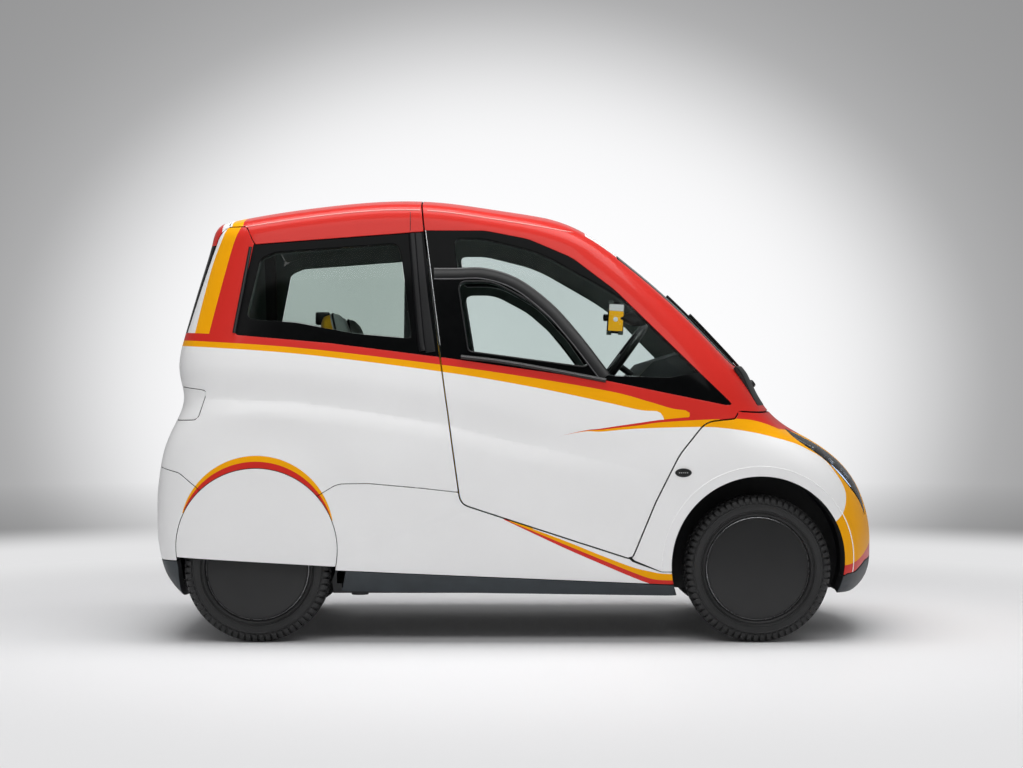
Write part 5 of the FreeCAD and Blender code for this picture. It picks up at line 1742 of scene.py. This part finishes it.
def hinge_arms():
    """The bent arms that carry the canopy on its hinge pins, as in the frame."""
    route = np.array([(0.94, 0.66), (0.78, 0.6675), (0.765, 0.7775), (0.8333, 0.895)])
    path = smooth_through(route, 10)
    points = np.stack([path[:, 0], np.full(len(path), -0.28), path[:, 1]], axis=1)
    up = np.gradient(points, axis=0)
    up /= np.linalg.norm(up, axis=1)[:, None]
    up = np.cross(up, [0, 1, 0])
    half = [(-0.006, -0.013), (-0.004, -0.015), (0.004, -0.015), (0.006, -0.013)]
    points, faces = along(points, up, half + [(-a, -b) for a, b in half])
    two_sided("hinge_arm", points, faces, [forged_iron], "canopy", "running_gear", sharp=30)
    boss = [(0.0085, -0.006), (0.018, -0.006), (0.02, -0.004), (0.02, 0.004), (0.018, 0.006),
            (0.0085, 0.006)]
    points, faces = turned(boss, 40)
    two_sided("hinge_boss", points[:, (0, 2, 1)] + [0.94, -0.28, 0.66], faces, [forged_iron], "canopy",
              "running_gear", sharp=30)


# Wheels and tyres
tyre_section = [
    (0.179, -0.056), (0.1825, -0.064), (0.186, -0.0668), (0.188, -0.0668), (0.189, -0.064),
    (0.1915, -0.0648), (0.195, -0.069), (0.1965, -0.0714), (0.1985, -0.0714), (0.2, -0.0698),
    (0.209, -0.0716), (0.217, -0.071), (0.2185, -0.0724), (0.221, -0.0724), (0.2222, -0.07),
    (0.2252, -0.0688), (0.2335, -0.0638), (0.2395, -0.057), (0.244, -0.047), (0.2468, -0.03),
    (0.2475, 0.0)]
tread_pitches = 66
tread_depth = 0.0085
tread_slant = 0.0008
# Each row's crown across the tyre, then where in its pitch it starts and ends
tread_rows = [
    ([(-0.0716, 0.2262), (-0.0698, 0.2345), (-0.0652, 0.2425), (-0.058, 0.2482), (-0.046, 0.2516)], 0.0, 0.7),
    ([(-0.0405, 0.2524), (-0.0175, 0.2536)], 0.35, 1.13),
    ([(-0.0125, 0.2538), (0.0, 0.2539), (0.0125, 0.2538)], 0.1, 0.98)]
disc_section = [
    (0.0, 0.006), (0.06, 0.0052), (0.12, 0.0022), (0.158, -0.0014), (0.1705, -0.0032), (0.1712, -0.0046),
    (0.1724, -0.0046), (0.1732, -0.003), (0.1752, -0.0022), (0.1776, -0.0032), (0.178, -0.006),
    (0.178, -0.112), (0.169, -0.112), (0.169, -0.018), (0.04, -0.018), (0.04, -0.088), (0.0152, -0.088),
    (0.0152, -0.016), (0.0, -0.016)]


def tread_mesh():
    """One pitch of the tread, about the wheel's axle along Y."""
    points, faces = [], []
    pitch = 2 * math.pi / tread_pitches
    rows = tread_rows + [([(-y, r) for y, r in crown[::-1]], start, end) for crown, start,
                         end in tread_rows[:2]]
    for crown, start, end in rows:
        slope = np.gradient(np.array(crown), axis=0)
        slope /= np.linalg.norm(slope, axis=1)[:, None]
        base = [(y + tread_depth * d[1], r - tread_depth * d[0]) for (y, r), d in zip(crown, slope)]
        size, first = len(crown), len(points)
        for turn, inset in ((start, 1), (end, -1)):
            for ring, move in ((crown, inset * tread_slant), (base, 0.0)):
                angle = pitch * turn + move / tyre_radius
                points += [(r * math.sin(angle), y, r * math.cos(angle)) for y, r in ring]
        top_a, low_a, top_b, low_b = [first + size * i for i in range(4)]
        for j in range(size - 1):
            faces.append((top_a + j, top_a + j + 1, top_b + j + 1, top_b + j))
            faces.append((low_a + j + 1, low_a + j, low_b + j, low_b + j + 1))
            faces.append((top_a + j + 1, top_a + j, low_a + j, low_a + j + 1))
            faces.append((top_b + j, top_b + j + 1, low_b + j + 1, low_b + j))
        faces.append((top_a, top_b, low_b, low_a))
        faces.append((top_b + size - 1, top_a + size - 1, low_a + size - 1, low_b + size - 1))
    mesh = bpy.data.meshes.new("tread_pitch")
    mesh.from_pydata(points, [], faces)
    return mesh


def round_pattern(name, mesh, material, count, hub):
    """Geometry nodes that repeat a mesh round the wheel's axle, made a plain mesh."""
    tree = bpy.data.node_groups.new(name + "_nodes", "GeometryNodeTree")
    for label, way, kind in (("Geometry", "INPUT", "Geometry"), ("Repeats", "INPUT", "Int"),
                             ("Hub", "INPUT", "Vector"), ("Geometry", "OUTPUT", "Geometry")):
        tree.interface.new_socket(label, in_out=way, socket_type="NodeSocket" + kind)
    start = tree.nodes.new("NodeGroupInput").outputs
    index = tree.nodes.new("GeometryNodeInputIndex")
    share = wired(tree, "ShaderNodeMath", index.outputs[0], start["Repeats"], operation="DIVIDE")
    turn = wired(tree, "ShaderNodeMath", share.outputs[0], 2 * math.pi, operation="MULTIPLY")
    spin = wired(tree, "ShaderNodeCombineXYZ", Y=turn.outputs[0])
    rotation = wired(tree, "FunctionNodeEulerToRotation", spin.outputs[0])
    points = wired(tree, "GeometryNodePoints", Count=start["Repeats"], Position=start["Hub"])
    put = wired(tree, "GeometryNodeInstanceOnPoints", Points=points.outputs[0], Instance=start["Geometry"],
                Rotation=rotation.outputs[0])
    real = wired(tree, "GeometryNodeRealizeInstances", put.outputs[0])
    paint = wired(tree, "GeometryNodeSetMaterial", real.outputs[0], Material=material)
    wired(tree, "NodeGroupOutput", paint.outputs[0])
    holder = bpy.data.objects.new(name, mesh)
    bpy.context.collection.objects.link(holder)
    modifier = holder.modifiers.new("pattern", "NODES")
    modifier.node_group = tree
    named = {item.name: item.identifier for item in tree.interface.items_tree if item.in_out == "INPUT"}
    modifier[named["Repeats"]] = count
    modifier[named["Hub"]] = hub
    plain = evaluated(holder)
    holder.modifiers.clear()
    holder.data = plain
    plain.name = name
    return holder


def wheel_set(end, side):
    """Tyre, tread and disc wheel at one corner."""
    sign = 1 if side == "left" else -1
    hub = np.array([front_axle_x if end == "front" else rear_axle_x, sign * wheel_y, tyre_radius])
    where, body = "_%s_%s" % (end, side), "roll_%s_%s" % (end, side)
    half = tyre_section + [(r, -s) for r, s in tyre_section[-2::-1]]
    points, faces = turned(half, 144)
    spun = points[:, (0, 2, 1)]
    crisp(shell_of("tyre_wall" + where, spun + hub, faces, [rubber], None, body, "tyre", ["tyre" + where]),
          25)
    tread = round_pattern("tyre_tread" + where, tread_mesh(), rubber, tread_pitches, tuple(hub))
    finish_piece(tread, body, "tyre", ["tyre" + where])
    outer = tyre_width / 2 - 0.0125
    points, faces = turned([(r, sign * (outer + s)) for r, s in disc_section], 128)
    spun = points[:, (0, 2, 1)]
    distance = np.hypot(spun[:, 0], spun[:, 2])
    faces_far = [min(distance[list(f)]) for f in faces]
    faces_out = [min(sign * spun[list(f), 1]) for f in faces]
    paint = [1 if far > 0.1745 and out > outer - 0.005 else 0 for far, out in zip(faces_far, faces_out)]
    wheel = shell_of("wheel_disc" + where, spun + hub, faces, [disc_black, disc_edge], paint, body, "wheel",
                     ["wheel" + where])
    crisp(wheel, 30)


for end in ("front", "rear"):
    for side in ("right", "left"):
        wheel_set(end, side)

canopy_panel()
glasshouse()
quarter_panel()
fixed_panels()
clam_panel()
screen_pane()
hatch_panels()
mouldings()
arch_beads()
seats()
phone_holder()
inner_trims()
cowl()
wiper()
repeaters()
headlamps()
hinge_arms()


# Stage, lights and camera
# Backdrop greys by distance from straight behind the car: the greying is painted shade.
backdrop_levels = [
    (0.0, 1.0), (0.1, 0.98), (0.14, 0.95), (0.17, 0.84), (0.2, 0.58), (0.225, 0.41), (0.27, 0.33),
    (0.33, 0.3), (0.6, 0.28)]
ceiling_levels = [(0.0, 0.72), (0.4, 0.72), (0.56, 0.6), (0.72, 0.3), (1.0, 0.22)]
backdrop_squeeze = (1.0, 1.0, 1.25)
backdrop_middle = (-0.005, 1.0, 0.0)
floor_fade = (1.8, 3.6)
floor_near = (4.2, 6.2)
floor_far = (6.0, 12.0)
# The floor's light is dimmed to this level up to the far band and brightens to full across it: painted shade.
floor_shade_level = 0.74
floor_tone = (1.04, 1.04, 1.05, 1)
floor_half = 40.0
glossy_world = 0.32
lights_aim = (0.0, 0.0, 0.6)
# Each light's place, width and depth, and power
studio_lights = {
    "top": ((0.0, -0.3, 4.4), (5.0, 2.4), 181), "side": ((0.3, -4.6, 4.6), (6.5, 1.8), 106),
    "back": ((0.0, 5.0, 3.0), (6.0, 2.0), 14)}


def grey_ramp(tree, levels, place):
    """Greys that follow a value from 0 to 1."""
    made = wired(tree, "ShaderNodeValToRGB", place)
    ramp = made.color_ramp
    ramp.interpolation = "B_SPLINE"
    ramp.elements.remove(ramp.elements[1])
    for at, level in levels:
        spot = ramp.elements[0] if at == 0.0 else ramp.elements.new(at)
        spot.color = (level, level, min(level * 1.01, 1.0), 1)
    return made.outputs["Color"]


def backdrop_colour(tree, coordinate):
    """White straight behind the car, greyer towards the edges as painted shade."""
    place = tree.nodes.new("ShaderNodeTexCoord").outputs[coordinate]
    eye = (camera_x, camera_y, camera_z) if coordinate == "Object" else (0, 0, 0)
    for operation, value in (("SUBTRACT", eye), ("NORMALIZE", eye), ("MULTIPLY", backdrop_squeeze),
                             ("DISTANCE", backdrop_middle)):
        made = wired(tree, "ShaderNodeVectorMath", place, value, operation=operation)
        place = made.outputs["Value" if operation == "DISTANCE" else "Vector"]
    return grey_ramp(tree, backdrop_levels, place)


def seen_directly(tree):
    """1 for what the camera sees, also through glass."""
    ray = tree.nodes.new("ShaderNodeLightPath").outputs
    most = wired(tree, "ShaderNodeMath", ray["Is Camera Ray"], ray["Is Transmission Ray"],
                 operation="MAXIMUM")
    return most.outputs[0]


def floor_material():
    """A pale floor that fades into the backdrop far from the car, its light dimmed short of the far band as
    painted shade.
    """
    shader = Shader("floor_white", (0.84, 0.84, 0.85), 0.55)
    tree = shader.tree
    far = shader.node("ShaderNodeVectorMath", shader.place(), operation="LENGTH").outputs["Value"]
    reach = shader.node("ShaderNodeMapRange", Value=far, From_Min=floor_fade[0], From_Max=floor_fade[1])
    near = shader.node("ShaderNodeMapRange", Value=far, From_Min=floor_near[0], From_Max=floor_near[1],
                       To_Min=1.0, To_Max=0.0)
    reach.interpolation_type = near.interpolation_type = "SMOOTHSTEP"
    dim = shader.node("ShaderNodeMapRange", Value=far, From_Min=floor_far[0], From_Max=floor_far[1],
                      To_Min=floor_shade_level, To_Max=1.0)
    both = shader.node("ShaderNodeMath", reach.outputs["Result"], seen_directly(tree), operation="MULTIPLY")
    tone = shader.node("ShaderNodeMixRGB", near.outputs["Result"], backdrop_colour(tree, "Object"),
                       floor_tone)
    light = shader.node("ShaderNodeEmission", tone.outputs[0], dim.outputs["Result"])
    mix = shader.node("ShaderNodeMixShader", both.outputs[0], shader.bsdf.outputs[0], light.outputs[0])
    tree.links.new(mix.outputs[0], tree.nodes["Material Output"].inputs["Surface"])
    return shader.material


def stage():
    camera = bpy.data.objects.new("camera", bpy.data.cameras.new("camera"))
    camera.location = (camera_x, camera_y, camera_z)
    camera.rotation_euler = (math.pi / 2, 0, 0)
    camera.data.sensor_width = sensor_width
    camera.data.lens = photo_focal * sensor_width / photo_width
    camera.data.clip_end = 200
    bpy.context.collection.objects.link(camera)
    bpy.context.scene.camera = camera
    bpy.context.scene.view_settings.view_transform = "Standard"
    mesh = bpy.data.meshes.new("floor")
    corners = [(a * floor_half, b * floor_half, 0) for a, b in ((-1, -1), (1, -1), (1, 1), (-1, 1))]
    mesh.from_pydata(corners, [], [(0, 1, 2, 3)])
    floor = bpy.data.objects.new("floor", mesh)
    bpy.context.collection.objects.link(floor)
    mesh.materials.append(floor_material())
    world = bpy.data.worlds.new("studio")
    bpy.context.scene.world = world
    world.use_nodes = True
    tree = world.node_tree
    plain = tree.nodes["Background"]
    place = tree.nodes.new("ShaderNodeTexCoord")
    apart = wired(tree, "ShaderNodeSeparateXYZ", place.outputs["Generated"])
    rise = wired(tree, "ShaderNodeMapRange", Value=apart.outputs["Z"], From_Min=-1.0)
    tree.links.new(grey_ramp(tree, ceiling_levels, rise.outputs["Result"]), plain.inputs["Color"])
    ray = tree.nodes.new("ShaderNodeLightPath")
    calm = wired(tree, "ShaderNodeMapRange", Value=ray.outputs["Is Glossy Ray"], To_Min=1.0,
                 To_Max=glossy_world)
    tree.links.new(calm.outputs["Result"], plain.inputs["Strength"])
    white = wired(tree, "ShaderNodeBackground", backdrop_colour(tree, "Generated"))
    mix = wired(tree, "ShaderNodeMixShader", seen_directly(tree), plain.outputs[0], white.outputs[0])
    tree.links.new(mix.outputs[0], tree.nodes["World Output"].inputs["Surface"])
    for name, (spot, size, power) in studio_lights.items():
        light = bpy.data.lights.new(name, "AREA")
        light.shape = "RECTANGLE"
        light.size, light.size_y = size
        light.energy = power
        lamp = bpy.data.objects.new(name, light)
        lamp.location = spot
        lamp.rotation_euler = (Vector(lights_aim) - Vector(spot)).to_track_quat("-Z", "Y").to_euler()
        bpy.context.collection.objects.link(lamp)


stage()
